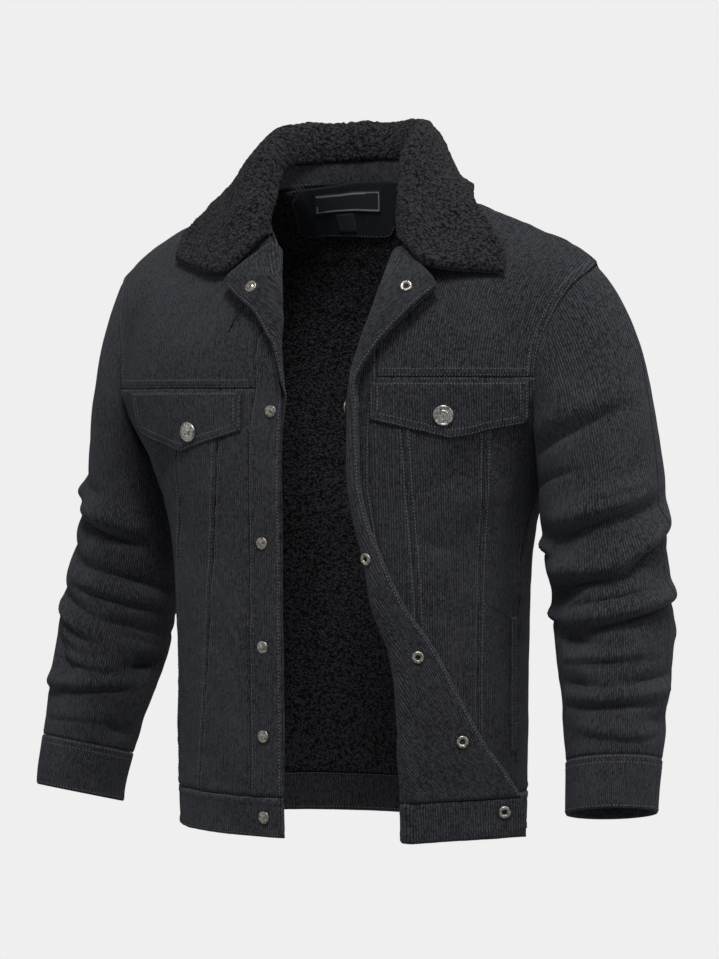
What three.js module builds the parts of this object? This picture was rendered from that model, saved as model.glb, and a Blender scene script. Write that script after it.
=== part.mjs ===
// Sherpa lined jacket, worn open on an unseen body, built as the pieces that a maker would cut and sew.
// Millimetres, +Z up, the front faces -Y and the wearer's left is +X. The origin is the neck base between the shoulders.
// Each piece is a patch of a named surface between two offsets, so that every wall is cloth and every hollow is real.
import * as THREE from "three";

// Main sizes.
const HEM_Z = -641; // bottom edge of the hem band
const BAND_Z = -601; // top edge of the hem band
const YOKE_T = -203; // chest row, where the yokes are sewn to the panels
const ARMPIT_T = -257; // lowest point of the armhole
const SHELL = 2; // corduroy, one layer with its seam allowance
const PILE = 4.6; // sherpa lining
const UNDER = 2.6; // room between the shell and what lines it
const COLLAR_PILE = 6; // sherpa on the collar
const SEAM = 0.16; // half of the gap between two sewn pieces
const NECK_S = 78; // neck point, from the centre along the shoulder
const TIP_S = 262; // shoulder tip, from the centre along the shoulder
const PLACKET = 35; // width of the placket
const FACING = 55; // width of the front facing
const SNAP_D = 20; // snap centres, from the free edge

// Torso rows: height, half width, depth in front, depth behind, roundness of the section.
const TORSO = [
  [-645, 178, 132, 128, 2.15],
  [-600, 179, 134, 130, 2.15],
  [-480, 181, 135, 126, 2.15],
  [-380, 185, 137, 126, 2.15],
  [-340, 190, 137, 126, 2.17],
  [-300, 202, 138, 128, 2.2],
  [-272, 214, 138, 130, 2.22],
  [-250, 227, 138, 130, 2.25],
  [-225, 240, 137, 130, 2.28],
  [-203, 248, 136, 130, 2.3],
];

// Shoulder crest: distance from the centre, depth, height.
const CREST = [
  [0, 4, 2],
  [78, 5, 0],
  [140, 8, -20],
  [205, 10, -44],
  [235, 10, -60],
  [256, 8, -78],
  [262, 8, -85],
  [330, 8, -165],
];
// How much lower the left shoulder is, from the neck to the tip.
const LEFT_DROP = [
  [78, 0],
  [140, 5],
  [205, 7],
  [235, 4],
  [256, 0],
];

// Back neckline: distance from the centre, depth, height.
const NAPE = [
  [0, 58, 8],
  [22, 56, 8],
  [42, 47, 6],
  [58, 33, 4],
  [70, 18, 2],
  [78, 5, 0],
];

// Fronts: height, fold (distance of the roll from the centre), turned (cloth turned back past the roll).
// A turned value of minus pi times the roll radius means that the edge lies flat.
const RIGHT_ROLL = 5.4;
const RIGHT_FLAT = -Math.PI * RIGHT_ROLL;
const RIGHT_FRONT = [
  [-640, 5, RIGHT_FLAT],
  [-260, 5, RIGHT_FLAT],
  [-225, 6, RIGHT_FLAT * 0.75],
  [-200, 9, -6],
  [-167, 14, -2],
  [-138, 17, 15],
  [-118, 21, 38],
  [-98, 26, 56],
  [-61, 37, 59],
  [-15, 62, 59],
  [20, 75, 59],
  [56, 78, 59],
];
const LEFT_ROLL = 7;
const LEFT_FRONT = [
  [-640, 124, 110],
  [-612, 124, 109],
  [-579, 124, 93],
  [-549, 122, 74],
  [-505, 121, 52],
  [-487, 120, 44],
  [-452, 113, 34],
  [-412, 99, 22],
  [-366, 92, 9],
  [-330, 84, 5],
  [-289, 79, 4],
  [-226, 80, 3],
  [-199, 82, 0],
  [-162, 92, 12],
  [-133, 99, 30],
  [-99, 103, 50],
  [-65, 104, 51],
  [-10, 89, 51],
  [22, 81, 51],
  [56, 78, 51],
];

// Vertical seams on the fronts, as distances from the centre: seam A, seam B, at the height in the first column.
const RIGHT_SEAMS = [
  [-640, 116, 184],
  [-500, 102, 172],
  [-381, 90, 160],
  [-305, 83, 144],
  [-203, 75, 132],
];
const LEFT_SEAMS = [
  [-640, 137, 194],
  [-500, 134, 193],
  [-385, 129, 195],
  [-328, 125, 197],
  [-194, 121, 200],
];

// Armhole from the shoulder tip down to the side seam: height, distance in from the side line or from the centre.
const ARMHOLE = [
  [-68, 262],
  [-100, 258],
  [-140, 254],
  [-180, 250],
  [-205, 251],
  [-225, 257],
  [-240, 267],
  [-250, 280],
  [-255, 293],
];

// Sleeves: height, centre across, centre in depth, half width, half depth. The last row is the end of the cuff.
const LEFT_SLEEVE = [
  [-300, 267, 14, 56, 74],
  [-360, 272, 14, 56, 70],
  [-415, 279, 11, 55, 65],
  [-460, 286, 4, 53.5, 61],
  [-510, 293, -11, 48.5, 54],
  [-540, 296, -19, 45.5, 50],
  [-560, 298, -26, 43.5, 47],
  [-611, 301, -38, 41.5, 44.5],
];
const RIGHT_SLEEVE = [
  [-300, 257, 15, 46, 68],
  [-360, 266, 15, 52, 66],
  [-415, 276, 11, 55.5, 62],
  [-460, 282, 4, 54, 60],
  [-515, 289, -11, 49, 54],
  [-545, 292, -20, 45.5, 49],
  [-569, 294, -27, 43.5, 47],
  [-619, 296, -39, 41.5, 44.5],
];
const CUFF = 50; // height of a cuff

// Sleeve folds: turn and height at both ends, half width in mm, height of the fold in mm (minus for a crease).
// Turn 0 is outside, 0.25 is the front, 0.5 is inside and 0.75 is behind.
const LEFT_FOLDS = [
  [0.09, -222, 0.33, -262, 9, -4.5],
  [0.05, -303, 0.32, -335, 13, 7],
  [0.24, -344, 0.36, -342, 10, -6],
  [-0.06, -326, 0.16, -372, 12, 7],
  [0.16, -372, 0.37, -384, 12, 7],
  [0.28, -402, 0.42, -398, 12, -8],
  [-0.05, -401, 0.32, -427, 11, 8],
  [0.24, -446, 0.36, -442, 11, -7],
  [0.36, -486, 0.2, -489, 8, -5.5],
  [0.2, -489, -0.04, -477, 8, -5.5],
  [0.34, -498, -0.02, -492, 9, 5],
  [-0.08, -517, 0.06, -520, 11, -5],
  [0.1, -530, 0.3, -526, 8, 2.5],
  [0.6, -330, 0.85, -310, 14, 6],
  [0.6, -380, 0.92, -360, 13, -5],
  [0.58, -420, 0.88, -440, 14, 6],
  [0.62, -480, 0.9, -470, 10, -4],
  [0.55, -530, 0.85, -515, 10, 3],
];
const RIGHT_FOLDS = [
  [0.05, -306, 0.14, -310, 11, 5],
  [0.14, -322, 0.4, -350, 14, 7],
  [0.08, -362, 0.23, -387, 9, -5],
  [0.23, -387, 0.47, -410, 9, -6],
  [0.2, -398, 0.46, -424, 9, 5],
  [0.08, -408, 0.26, -437, 9, -5.5],
  [0.26, -437, 0.5, -457, 10, -6],
  [0.1, -425, 0.3, -455, 9, 5],
  [0.14, -458, 0.24, -492, 9, -5],
  [0.42, -489, 0.54, -489, 12, -7],
  [0.1, -504, 0.43, -504, 8, 4],
  [0.38, -548, 0.49, -559, 8, -4],
  [0.6, -330, 0.85, -318, 14, 6],
  [0.62, -384, 0.92, -364, 13, -5],
  [0.6, -424, 0.88, -442, 14, 6],
  [0.64, -486, 0.9, -474, 10, -4],
];

// Collar stations from the centre back to the front end, as points along the profile:
// neck seam, stand top, inner roll, top of the roll, outer roll, middle of the fall, outer edge. Across, depth, height.
const COLLAR_BACK = [[0, 57, 12], [0, 59, 27], [0, 61, 46], [0, 73, 62], [0, 86, 47], [0, 95, 16], [0, 99, -11]];
const COLLAR_RIGHT = [
  [[38, 49, 11], [38, 50, 26], [38, 51, 45], [47, 62, 62], [60, 71, 47], [67, 79, 13], [72, 77, -20]],
  [[64, 28, 9], [61, 28, 24], [60, 27, 43], [71, 32, 60], [88, 38, 45], [106, 46, 10], [124, 50, -28]],
  [[77, 5, 6], [73, 2, 21], [69, 0, 38], [79, 1, 53], [97, 4, 41], [128, 10, 6], [158, 14, -19]],
  [[77, -28, -5], [74, -29, 4], [71, -31, 15], [79, -36, 27], [97, -36, 18], [125, -28, -12], [164, -11, -30]],
  [[63, -56, -30], [61, -59, -25], [60, -63, -21], [66, -71, -21], [82, -75, -28], [114, -68, -47], [168, -41, -50]],
  [[49, -79, -52], [50, -85, -54], [53, -94, -60], [60, -106, -73], [77, -114, -90], [109, -106, -89], [161, -72, -76]],
];
const COLLAR_LEFT = [
  [[38, 49, 11], [38, 50, 26], [38, 51, 45], [43, 62, 62], [55, 71, 47], [62, 79, 13], [67, 77, -20]],
  [[64, 28, 9], [59, 28, 24], [56, 27, 43], [63, 32, 58], [72, 38, 44], [89, 46, 11], [103, 52, -24]],
  [[77, 5, 6], [73, 2, 21], [69, 0, 38], [76, 1, 51], [85, 4, 40], [102, 10, 9], [127, 14, -10]],
  [[80, -25, -4], [78, -27, 6], [76, -29, 17], [82, -33, 28], [91, -34, 19], [109, -27, -8], [145, -15, -25]],
  [[88, -50, -28], [87, -53, -22], [87, -57, -17], [92, -64, -15], [101, -67, -21], [127, -60, -44], [189, -45, -66]],
  [[99, -85, -60], [101, -90, -62], [107, -96, -64], [117, -105, -71], [128, -109, -80], [146, -102, -89], [200, -66, -93]],
];

// Body folds: distance from the centre (minus for the wearer's right) and height at both ends, half width, height of the fold.
const FRONT_FOLDS = [
  [-86, -385, -42, -443, 12, 3.5],
  [-96, -372, -52, -424, 9, -3],
  [-92, -470, -76, -500, 10, 3],
  [-150, -300, -128, -380, 14, -3],
  [-190, -300, -150, -262, 12, -4],
  [-60, -470, -50, -590, 16, 3],
  [-150, -520, -140, -595, 15, -3],
  [130, -349, 162, -357, 9, -2.5],
  [150, -300, 190, -262, 14, -2.5],
  [168, -330, 206, -300, 12, 4],
  [160, -440, 150, -590, 16, 3],
  [205, -120, 235, -190, 16, -3],
  [-205, -120, -235, -190, 16, -3],
];
const BACK_FOLDS = [
  [-150, -120, -190, -230, 22, 5],
  [150, -120, 190, -230, 22, 5],
  [-175, -200, -120, -270, 16, -4],
  [175, -200, 120, -270, 16, -4],
  [-90, -330, 60, -352, 18, -4],
  [-60, -380, 100, -366, 18, 4],
  [-120, -450, -105, -590, 20, 4],
  [110, -460, 100, -590, 20, 4],
  [0, -430, 5, -590, 20, -3],
];

// Small vector helpers.
const add = (a, b, k = 1) => [a[0] + b[0] * k, a[1] + b[1] * k, a[2] + b[2] * k];
const sub = (a, b) => [a[0] - b[0], a[1] - b[1], a[2] - b[2]];
const dot = (a, b) => a[0] * b[0] + a[1] * b[1] + a[2] * b[2];
const cross = (a, b) => [a[1] * b[2] - a[2] * b[1], a[2] * b[0] - a[0] * b[2], a[0] * b[1] - a[1] * b[0]];
const size = (a) => Math.hypot(a[0], a[1], a[2]);
const unit = (a) => a.map((x) => x / size(a));
const mix = (a, b, k) => a + (b - a) * k;
const mixPoint = (a, b, k) => a.map((x, i) => mix(x, b[i], k));
const hermite = (a, ma, b, mb, w) =>
  a.map(
    (x, i) =>
      (2 * w ** 3 - 3 * w * w + 1) * x +
      (w ** 3 - 2 * w * w + w) * ma[i] +
      (3 * w * w - 2 * w ** 3) * b[i] +
      (w ** 3 - w * w) * mb[i]
  );

// Reads a table at a value of its first column, with a smooth curve through its rows. Past its ends it holds still.
function read(table, at) {
  const up = table[1][0] > table[0][0];
  const rows = up ? table : table.slice().reverse();
  const n = rows.length;
  if (at <= rows[0][0]) return rows[0].slice(1);
  if (at >= rows[n - 1][0]) return rows[n - 1].slice(1);
  let k = 0;
  while (at > rows[k + 1][0]) k += 1;
  const w = (at - rows[k][0]) / (rows[k + 1][0] - rows[k][0]);
  const slope = (i, c) => {
    if (i === 0 || i === n - 1) return 0;
    const before = (rows[i][c] - rows[i - 1][c]) / (rows[i][0] - rows[i - 1][0]);
    const after = (rows[i + 1][c] - rows[i][c]) / (rows[i + 1][0] - rows[i][0]);
    return before * after <= 0 ? 0 : (2 * before * after) / (before + after);
  };
  const span = rows[k + 1][0] - rows[k][0];
  const out = [];
  for (let c = 1; c < rows[k].length; c += 1) {
    out.push(
      hermite([rows[k][c]], [slope(k, c) * span], [rows[k + 1][c]], [slope(k + 1, c) * span], w)[0]
    );
  }
  return out;
}

// Height of a fold table at a place on the cloth. Ends fade out softly.
function foldLift(folds, u, v, scaleU = 1) {
  let lift = 0;
  for (const [u0, v0, u1, v1, half, rise] of folds) {
    const ax = (u1 - u0) * scaleU;
    const ay = v1 - v0;
    const px = (u - u0) * scaleU;
    const py = v - v0;
    const length = Math.hypot(ax, ay);
    const along = (px * ax + py * ay) / (length * length);
    const inside = Math.min(1, Math.max(0, along));
    const off = Math.hypot(px - ax * inside, py - ay * inside) / half;
    const fade = Math.sin(Math.PI * Math.min(1, Math.max(0, 0.12 + 0.76 * inside))) ** 0.7;
    lift += rise * fade * Math.exp(-off * off);
  }
  return lift;
}

// Quarter of a torso section with its lengths. Face 1 is the front and face -1 is the back.
const quarters = new Map();
function quarter(face, height) {
  const key = `${face} ${height.toFixed(3)}`;
  if (quarters.has(key)) return quarters.get(key);
  const [wide, front, back, round] = read(TORSO, height);
  const deep = face > 0 ? front : back;
  const points = [];
  const lengths = [];
  for (let i = 0; i <= 72; i += 1) {
    const angle = (i / 72) * (Math.PI / 2);
    const point = [wide * Math.sin(angle) ** (2 / round), -face * deep * Math.abs(Math.cos(angle)) ** (2 / round)];
    const last = points[points.length - 1];
    lengths.push(i === 0 ? 0 : lengths[i - 1] + Math.hypot(point[0] - last[0], point[1] - last[1]));
    points.push(point);
  }
  const result = { points, lengths, side: lengths[72] };
  quarters.set(key, result);
  return result;
}

function ringPoint(face, s, height) {
  const far = Math.abs(s);
  let q = quarter(face, height);
  let place = far;
  if (far > q.side) {
    const over = far - q.side;
    q = quarter(-face, height);
    place = q.side - over;
  }
  let k = 0;
  while (k < 71 && place > q.lengths[k + 1]) k += 1;
  const w = (place - q.lengths[k]) / (q.lengths[k + 1] - q.lengths[k]);
  const x = mix(q.points[k][0], q.points[k + 1][0], w);
  const y = mix(q.points[k][1], q.points[k + 1][1], w);
  return [s < 0 ? -x : x, y, height];
}

// Side seam, as the distance from the centre line along the section.
const sideS = (face, t) => quarter(face, Math.min(t, YOKE_T)).side;

// The column of cloth over the chest or the shoulder blade, up to the crest.
function column(face, s) {
  const far = Math.abs(s);
  const low = ringPoint(face, far, YOKE_T);
  const [cy, cz] = read(CREST, far);
  const [drop] = s > 0 ? read(LEFT_DROP, far) : [0];
  let top = [far > TIP_S ? TIP_S + (far - TIP_S) * 0.2 : far, cy, cz - drop];
  if (face < 0 && far < NECK_S) {
    const [ny, nz] = read(NAPE, far);
    top = [far, ny, nz];
  }
  const length = 1.05 * size(sub(top, low));
  return { low, top, length };
}
const crestT = (face, s) => YOKE_T + column(face, s).length;

// Torso surface: s from the centre line, t up the cloth.
function torso(face, s, t) {
  const folds = face > 0 ? FRONT_FOLDS : BACK_FOLDS;
  let point;
  if (t <= YOKE_T) {
    point = ringPoint(face, s, t);
  } else {
    const { low, top, length } = column(face, s);
    const w = (t - YOKE_T) / length;
    const nape = face < 0 ? Math.max(0, 1 - (s / NECK_S) ** 2) : 0; // the back stands up steeply at the neck
    const start = [0, 0, 1.1 * length];
    const end = [0, face * mix(1.01, 0.42, nape) * length, mix(0.44, 0.98, nape) * length];
    point = hermite(low, start, top, end, w);
    if (s < 0) point[0] = -point[0];
  }
  const lift = foldLift(folds, s, t);
  if (Math.abs(lift) > 0.001) {
    const k = Math.min(1, Math.max(0, (point[2] + 640) / 30));
    const out = unit([point[0] / 3, point[1], 0]);
    point = add(point, out, lift * k);
  }
  return point;
}

// Unit normal of a surface by small steps, turned to the side that it is asked for.
function normalOf(surface, u, v, turn = 1) {
  const e = 0.6;
  const du = sub(surface(u + e, v), surface(u - e, v));
  const dv = sub(surface(u, v + e), surface(u, v - e));
  const n = unit(cross(du, dv));
  return n.map((x) => x * turn);
}

// A front with its turned edge. Side 1 is the wearer's left. d is the cloth from the free edge, t the height.
function makeFront(side) {
  const table = side > 0 ? LEFT_FRONT : RIGHT_FRONT;
  const roll = side > 0 ? LEFT_ROLL : RIGHT_ROLL;
  const body = (s, t) => torso(1, side * s, t);
  const dOf = (s, t) => {
    const [fold, turned] = read(table, t);
    return s - fold + turned + Math.PI * roll;
  };
  const surface = (d, t) => {
    const [fold, turned] = read(table, t);
    const q = turned - d;
    if (q <= -Math.PI * roll) return body(fold - q - Math.PI * roll, t);
    const e = 0.6;
    const at = body(fold, t);
    const along = unit(sub(body(fold + e, t), body(fold - e, t)));
    const up = sub(body(fold, t + e), body(fold, t - e));
    let out = unit(cross(along, up));
    if (side < 0) out = out.map((x) => -x);
    if (q <= 0) {
      const angle = -q / roll;
      const centre = add(at, out, roll);
      return add(add(centre, out, roll * Math.cos(angle)), along, -roll * Math.sin(angle));
    }
    const straight = add(add(at, out, 2 * roll), along, q);
    if (t < -300) {
      const lift = side > 0 ? q * 0.06 : 0;
      return [straight[0], straight[1], straight[2] + lift];
    }
    const follow = Math.min(1, (t + 300) / 100);
    const near = add(body(fold + q, t), out, 2 * roll + q * 0.04);
    return mixPoint(straight, near, follow * 0.75);
  };
  return { surface, dOf, side, roll, table };
}
const RIGHT = makeFront(-1);
const LEFT = makeFront(1);

// Builds one closed piece of cloth. at(i, j) gives the place on the surface, near and far are the offsets.
function patch(surface, turn, us, vs, at, near, far, closed = false) {
  const nu = us.length;
  const nv = vs.length;
  const inner = [];
  const outer = [];
  for (let j = 0; j < nv; j += 1) {
    for (let i = 0; i < nu; i += 1) {
      const [a, b] = at(us[i], vs[j]);
      const p = surface(a, b);
      const n = normalOf(surface, a, b, turn);
      const lo = typeof near === "function" ? near(us[i], vs[j]) : near;
      const hi = typeof far === "function" ? far(us[i], vs[j]) : far;
      inner.push(add(p, n, lo));
      outer.push(add(p, n, hi));
    }
  }
  return closeSheet(inner, outer, nu, nv, closed);
}

function closeSheet(inner, outer, nu, nv, closed) {
  const count = nu * nv;
  const positions = new Float32Array(count * 6);
  inner.forEach((p, k) => positions.set(p, k * 3));
  outer.forEach((p, k) => positions.set(p, (count + k) * 3));
  const index = [];
  const at = (i, j) => j * nu + (closed ? i % nu : i);
  const quad = (a, b, c, d) => index.push(a, b, c, a, c, d);
  const across = closed ? nu : nu - 1;
  for (let j = 0; j < nv - 1; j += 1) {
    for (let i = 0; i < across; i += 1) {
      const [a, b, c, d] = [at(i, j), at(i + 1, j), at(i + 1, j + 1), at(i, j + 1)];
      quad(count + a, count + b, count + c, count + d);
      quad(a, d, c, b);
    }
  }
  for (let i = 0; i < across; i += 1) {
    quad(at(i, 0), at(i + 1, 0), count + at(i + 1, 0), count + at(i, 0));
    quad(at(i + 1, nv - 1), at(i, nv - 1), count + at(i, nv - 1), count + at(i + 1, nv - 1));
  }
  if (!closed) {
    for (let j = 0; j < nv - 1; j += 1) {
      quad(at(0, j + 1), at(0, j), count + at(0, j), count + at(0, j + 1));
      quad(at(nu - 1, j), at(nu - 1, j + 1), count + at(nu - 1, j + 1), count + at(nu - 1, j));
    }
  }
  const geometry = new THREE.BufferGeometry();
  geometry.setAttribute("position", new THREE.BufferAttribute(positions, 3));
  geometry.setIndex(index);
  return faceOut(geometry);
}

// Turns every face over when the piece came out inside out.
function faceOut(geometry) {
  const p = geometry.getAttribute("position");
  const index = geometry.getIndex();
  let volume = 0;
  for (let k = 0; k < index.count; k += 3) {
    const [a, b, c] = [0, 1, 2].map((m) => {
      const v = index.getX(k + m);
      return [p.getX(v), p.getY(v), p.getZ(v)];
    });
    volume += dot(a, cross(b, c));
  }
  if (volume < 0) {
    for (let k = 0; k < index.count; k += 3) {
      const b = index.getX(k + 1);
      index.setX(k + 1, index.getX(k + 2));
      index.setX(k + 2, b);
    }
  }
  geometry.computeVertexNormals();
  return geometry;
}

const steps = (n) => Array.from({ length: n + 1 }, (_, k) => k / n);

// Finds a panel's place from a column u and a row v. columns gives the distance at a height; low, middle and high the rows.
// v runs from 0 at the low edge over 1 at the middle line to 2 at the high edge, so that neighbours share their rows.
function between(columns, low, middle, high) {
  return (u, v) => {
    let t = v <= 1 ? mix(low(0), middle(0), v) : mix(middle(0), high(0), v - 1);
    let d = columns(u, t);
    for (let k = 0; k < 60; k += 1) {
      let wanted = 0;
      if (v <= 1) wanted = mix(low(d) + SEAM, middle(d) - (high ? 0 : SEAM), v);
      else wanted = mix(middle(d), high(d) - SEAM, v - 1);
      t = mix(t, wanted, 0.4);
      d = mix(d, columns(u, t), 0.4);
    }
    return [d, t];
  };
}
const evenly = (left, right) => (u, t) => mix(left(t) + SEAM, right(t) - SEAM, u);
const panel = (left, right, low, high) => between(evenly(left, right), low, high, null);

// The armhole's distance from the centre at a height, and the outer edge of a panel.
function edgeS(face, t) {
  if (t <= ARMPIT_T) return sideS(face, t);
  const side = sideS(face, ARMPIT_T);
  const rows = ARMHOLE.map(([h, s]) => [h, s + ((side - 305) * Math.max(0, -205 - h)) / 52]);
  rows.push([ARMPIT_T, side]);
  return read(rows, t)[0];
}

const group = new THREE.Group();
group.name = "sherpa_lined_jacket";
const CORD = { color: 0x2b2b30, roughness: 0.95, metalness: 0 };
const PLUSH = { color: 0x121216, roughness: 1, metalness: 0 };
const METAL = { color: 0x8f8676, roughness: 0.35, metalness: 1 };
const PALE = { color: 0x6f6a62, roughness: 0.8, metalness: 0 };

function piece(name, geometry, look) {
  const mesh = new THREE.Mesh(geometry, new THREE.MeshStandardMaterial(look));
  mesh.name = name;
  group.add(mesh);
  return mesh;
}

// Revolved trim: profile of [radius, height] pairs going round the section, set on a surface with its axis along the normal.
function turned(place, axis, profile, hollow, segments = 9) {
  const z = unit(axis);
  const x = unit(cross(Math.abs(z[2]) < 0.9 ? [0, 0, 1] : [1, 0, 0], z));
  const y = cross(z, x);
  const at = (r, h, k) => {
    const angle = (k / segments) * 2 * Math.PI;
    return add(add(add(place, z, h), x, r * Math.cos(angle)), y, r * Math.sin(angle));
  };
  const points = [];
  const index = [];
  profile.forEach(([r, h]) => {
    for (let k = 0; k < segments; k += 1) points.push(at(r, h, k));
  });
  const n = profile.length;
  const joins = hollow ? n : n - 1;
  for (let j = 0; j < joins; j += 1) {
    for (let k = 0; k < segments; k += 1) {
      const a = j * segments + k;
      const b = j * segments + ((k + 1) % segments);
      const c = ((j + 1) % n) * segments + ((k + 1) % segments);
      const d = ((j + 1) % n) * segments + k;
      index.push(a, b, c, a, c, d);
    }
  }
  if (!hollow) {
    const low = points.push(add(place, z, profile[0][1])) - 1;
    const high = points.push(add(place, z, profile[n - 1][1])) - 1;
    for (let k = 0; k < segments; k += 1) {
      index.push(low, (k + 1) % segments, k);
      index.push(high, (n - 1) * segments + k, (n - 1) * segments + ((k + 1) % segments));
    }
  }
  const geometry = new THREE.BufferGeometry();
  geometry.setAttribute("position", new THREE.BufferAttribute(new Float32Array(points.flat()), 3));
  geometry.setIndex(index);
  return faceOut(geometry);
}
const STUD = [
  [5.2, 0],
  [6, 0.7],
  [5, 1.7],
  [2.8, 2.2],
];
const SOCKET = [
  [2.4, 0],
  [6, 0],
  [6, 1.1],
  [4.8, 1.9],
  [2.6, 1.8],
];
const BUTTON = [
  [9.4, 0],
  [10, 0.8],
  [9, 2.1],
  [7.2, 2.5],
  [6.2, 1.9],
  [2.4, 2.2],
];

// Fronts.
const SHOULDER = [78, 108, 140, 172, 205, 235, 250, 262]; // columns that front and back share along the shoulder
for (const front of [RIGHT, LEFT]) {
  const { surface, dOf, side, table, roll } = front;
  const word = side > 0 ? "left" : "right";
  const seams = side > 0 ? LEFT_SEAMS : RIGHT_SEAMS;
  const yokeT = side > 0 ? -194 : -204;
  const yoke = () => yokeT;
  const notch = side > 0 ? -111 : -106;
  const gorgeTop = side > 0 ? -69 : -61;
  const wide = read(table, gorgeTop)[1];
  const rollEnd = wide + Math.PI * roll;
  const seamA = (t) => dOf(read(seams, t)[0], t);
  const seamB = (t) => dOf(read(seams, t)[1], t);
  const outer = (t) => dOf(edgeS(1, t), t);
  const placketEdge = () => PLACKET;
  const facingEdge = () => FACING;
  const freeEdge = () => 0;
  const bottom = () => BAND_Z;
  const turn = side;
  // The top: gorge seam on the lapel, then the neckline, then the shoulder seam.
  const shoulder = [];
  for (let s = NECK_S; s <= 300; s += 3) {
    const t = crestT(1, side * s);
    shoulder.push([dOf(s, t), t]);
  }
  const top = (d) => {
    if (d <= wide) return mix(notch, gorgeTop, Math.max(0, d) / wide);
    if (d <= rollEnd) return gorgeTop;
    const w = Math.min(1, Math.max(0, (d - rollEnd) / 10));
    return mix(gorgeTop, read(shoulder, d)[0], w ** 0.8);
  };
  // Columns that follow the roll: some on the turned part, some round the roll and the rest on the body.
  // Body columns below 0 are distances past the roll and those over 1 are distances from the centre.
  // The others share what is left up to the edge.
  const folded = (left, right, turnedN, rollN, body) => {
    const least = 0.7;
    const bodyN = body.length;
    return (u, t) => {
      const gap = SEAM + 0.9 * Math.min(1, Math.max(0, (t + 190) / 30));
      const a = left(t) + gap;
      const b = right(t) - gap;
      const fold = read(table, t)[1];
      const r0 = Math.min(Math.max(fold, a + least * turnedN), b - least * (rollN + bodyN));
      const r1 = Math.min(Math.max(fold + Math.PI * roll, r0 + least * rollN), b - least * bodyN);
      if (u <= turnedN) return turnedN === 0 ? a : mix(a, r0, u / turnedN);
      if (u <= turnedN + rollN) return mix(r0, r1, (u - turnedN) / rollN);
      const k = Math.min(bodyN, u - turnedN - rollN) - 1;
      if (k === bodyN - 1) return b;
      const fixed = body.filter((x) => x > 1);
      const from = fixed.length ? Math.min(dOf(fixed[fixed.length - 1], t), b - 2) : r1;
      let wanted = mix(from, b, body[k]);
      if (body[k] > 1) wanted = dOf(body[k], t);
      if (body[k] < 0) wanted = fold + Math.PI * roll - body[k];
      return Math.max(r1 + least * (k + 1), Math.min(wanted, b - least * (bodyN - 1 - k)));
    };
  };
  const parts = (n) => steps(n).slice(1);
  const count = (n) => Array.from({ length: n + 1 }, (_, k) => k);
  const heights =
    side > 0
      ? [BAND_Z, -574, -547, -524, -507, -492, -476, -460, -444, -422, -396, -360, -315, -257, -248, yokeT]
      : [BAND_Z, -510, -420, -350, -290, -257, -248, yokeT];
  const rows = heights.map((t) => (t - BAND_Z) / (yokeT - BAND_Z));
  const plainHeights =
    side > 0
      ? [BAND_Z, -507, -476, -444, -396, -360, -315, -257, yokeT]
      : [BAND_Z, -510, -420, -350, -290, -257, -248, yokeT];
  const plainRows = plainHeights.map((t) => (t - BAND_Z) / (yokeT - BAND_Z));
  const rowsUp = side > 0 ? [0, 0.22, 0.4, 0.53, 0.63, 0.73, 0.82, 0.91, 1] : [0, 0.25, 0.4, 0.49, 0.56, 0.62, 0.675, 0.73, 0.8, 0.89, 1];
  const allRows = [...rows, ...rowsUp.slice(1).map((v) => v + 1)];
  const yokeRight = (t) => dOf(edgeS(1, Math.max(t, yokeT - 1)), t);
  const yokeBody = [-1.5, -4, -7, -10, 108, 122, 140, 172, 205, 0.5, 0.8, 1];
  piece(
    `${word}_front_yoke`,
    patch(surface, turn, count(5 + yokeBody.length), rowsUp, between(folded(placketEdge, yokeRight, 1, 4, yokeBody), yoke, top, null), 0, SHELL),
    CORD
  );
  piece(
    `${word}_placket`,
    patch(surface, turn, count(7), allRows, between(folded(freeEdge, placketEdge, 1, 4, parts(2)), bottom, yoke, top), 0, SHELL + 0.3),
    CORD
  );
  piece(
    `${word}_front_centre_panel`,
    patch(surface, turn, count(side > 0 ? 8 : 4), rows, side > 0 ? between(folded(placketEdge, seamA, 1, 4, parts(3)), bottom, yoke, null) : between((u, t) => mix(PLACKET + SEAM, seamA(t) - SEAM, u / 4), bottom, yoke, null), 0, SHELL),
    CORD
  );
  piece(
    `${word}_front_middle_panel`,
    patch(surface, turn, steps(4), plainRows, panel(seamA, seamB, bottom, yoke), 0, SHELL),
    CORD
  );
  piece(
    `${word}_front_side_panel`,
    patch(surface, turn, steps(5), plainRows, panel(seamB, outer, bottom, yoke), 0, SHELL),
    CORD
  );
  piece(
    `${word}_facing`,
    patch(surface, turn, count(7), allRows, between(folded(freeEdge, facingEdge, 1, 4, parts(2)), bottom, yoke, top), -UNDER - SHELL, -UNDER),
    CORD
  );
  const liningTop = (d) => top(d) - 4.5;
  const liningSide = (t) => outer(t) - 2.4;
  const room = (u, v) => -UNDER - 1.5 - 14 * Math.max(0, v - 1.6);
  piece(
    `lining_${word}_front`,
    patch(surface, turn, count(5 + yokeBody.length), allRows, between(folded(() => FACING + 0.6, liningSide, 1, 4, yokeBody), bottom, yoke, liningTop), (u, v) => room(u, v) - PILE, room),
    PLUSH
  );
  piece(
    `${word}_hem_band`,
    patch(surface, turn, count(side > 0 ? 15 : 12), steps(2), between(side > 0 ? folded(freeEdge, outer, 3, 4, parts(8)) : (u, t) => mix(SEAM, outer(t) - SEAM, u / 12), () => HEM_Z, bottom, null), -UNDER - SHELL, SHELL + 0.4),
    CORD
  );
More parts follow.
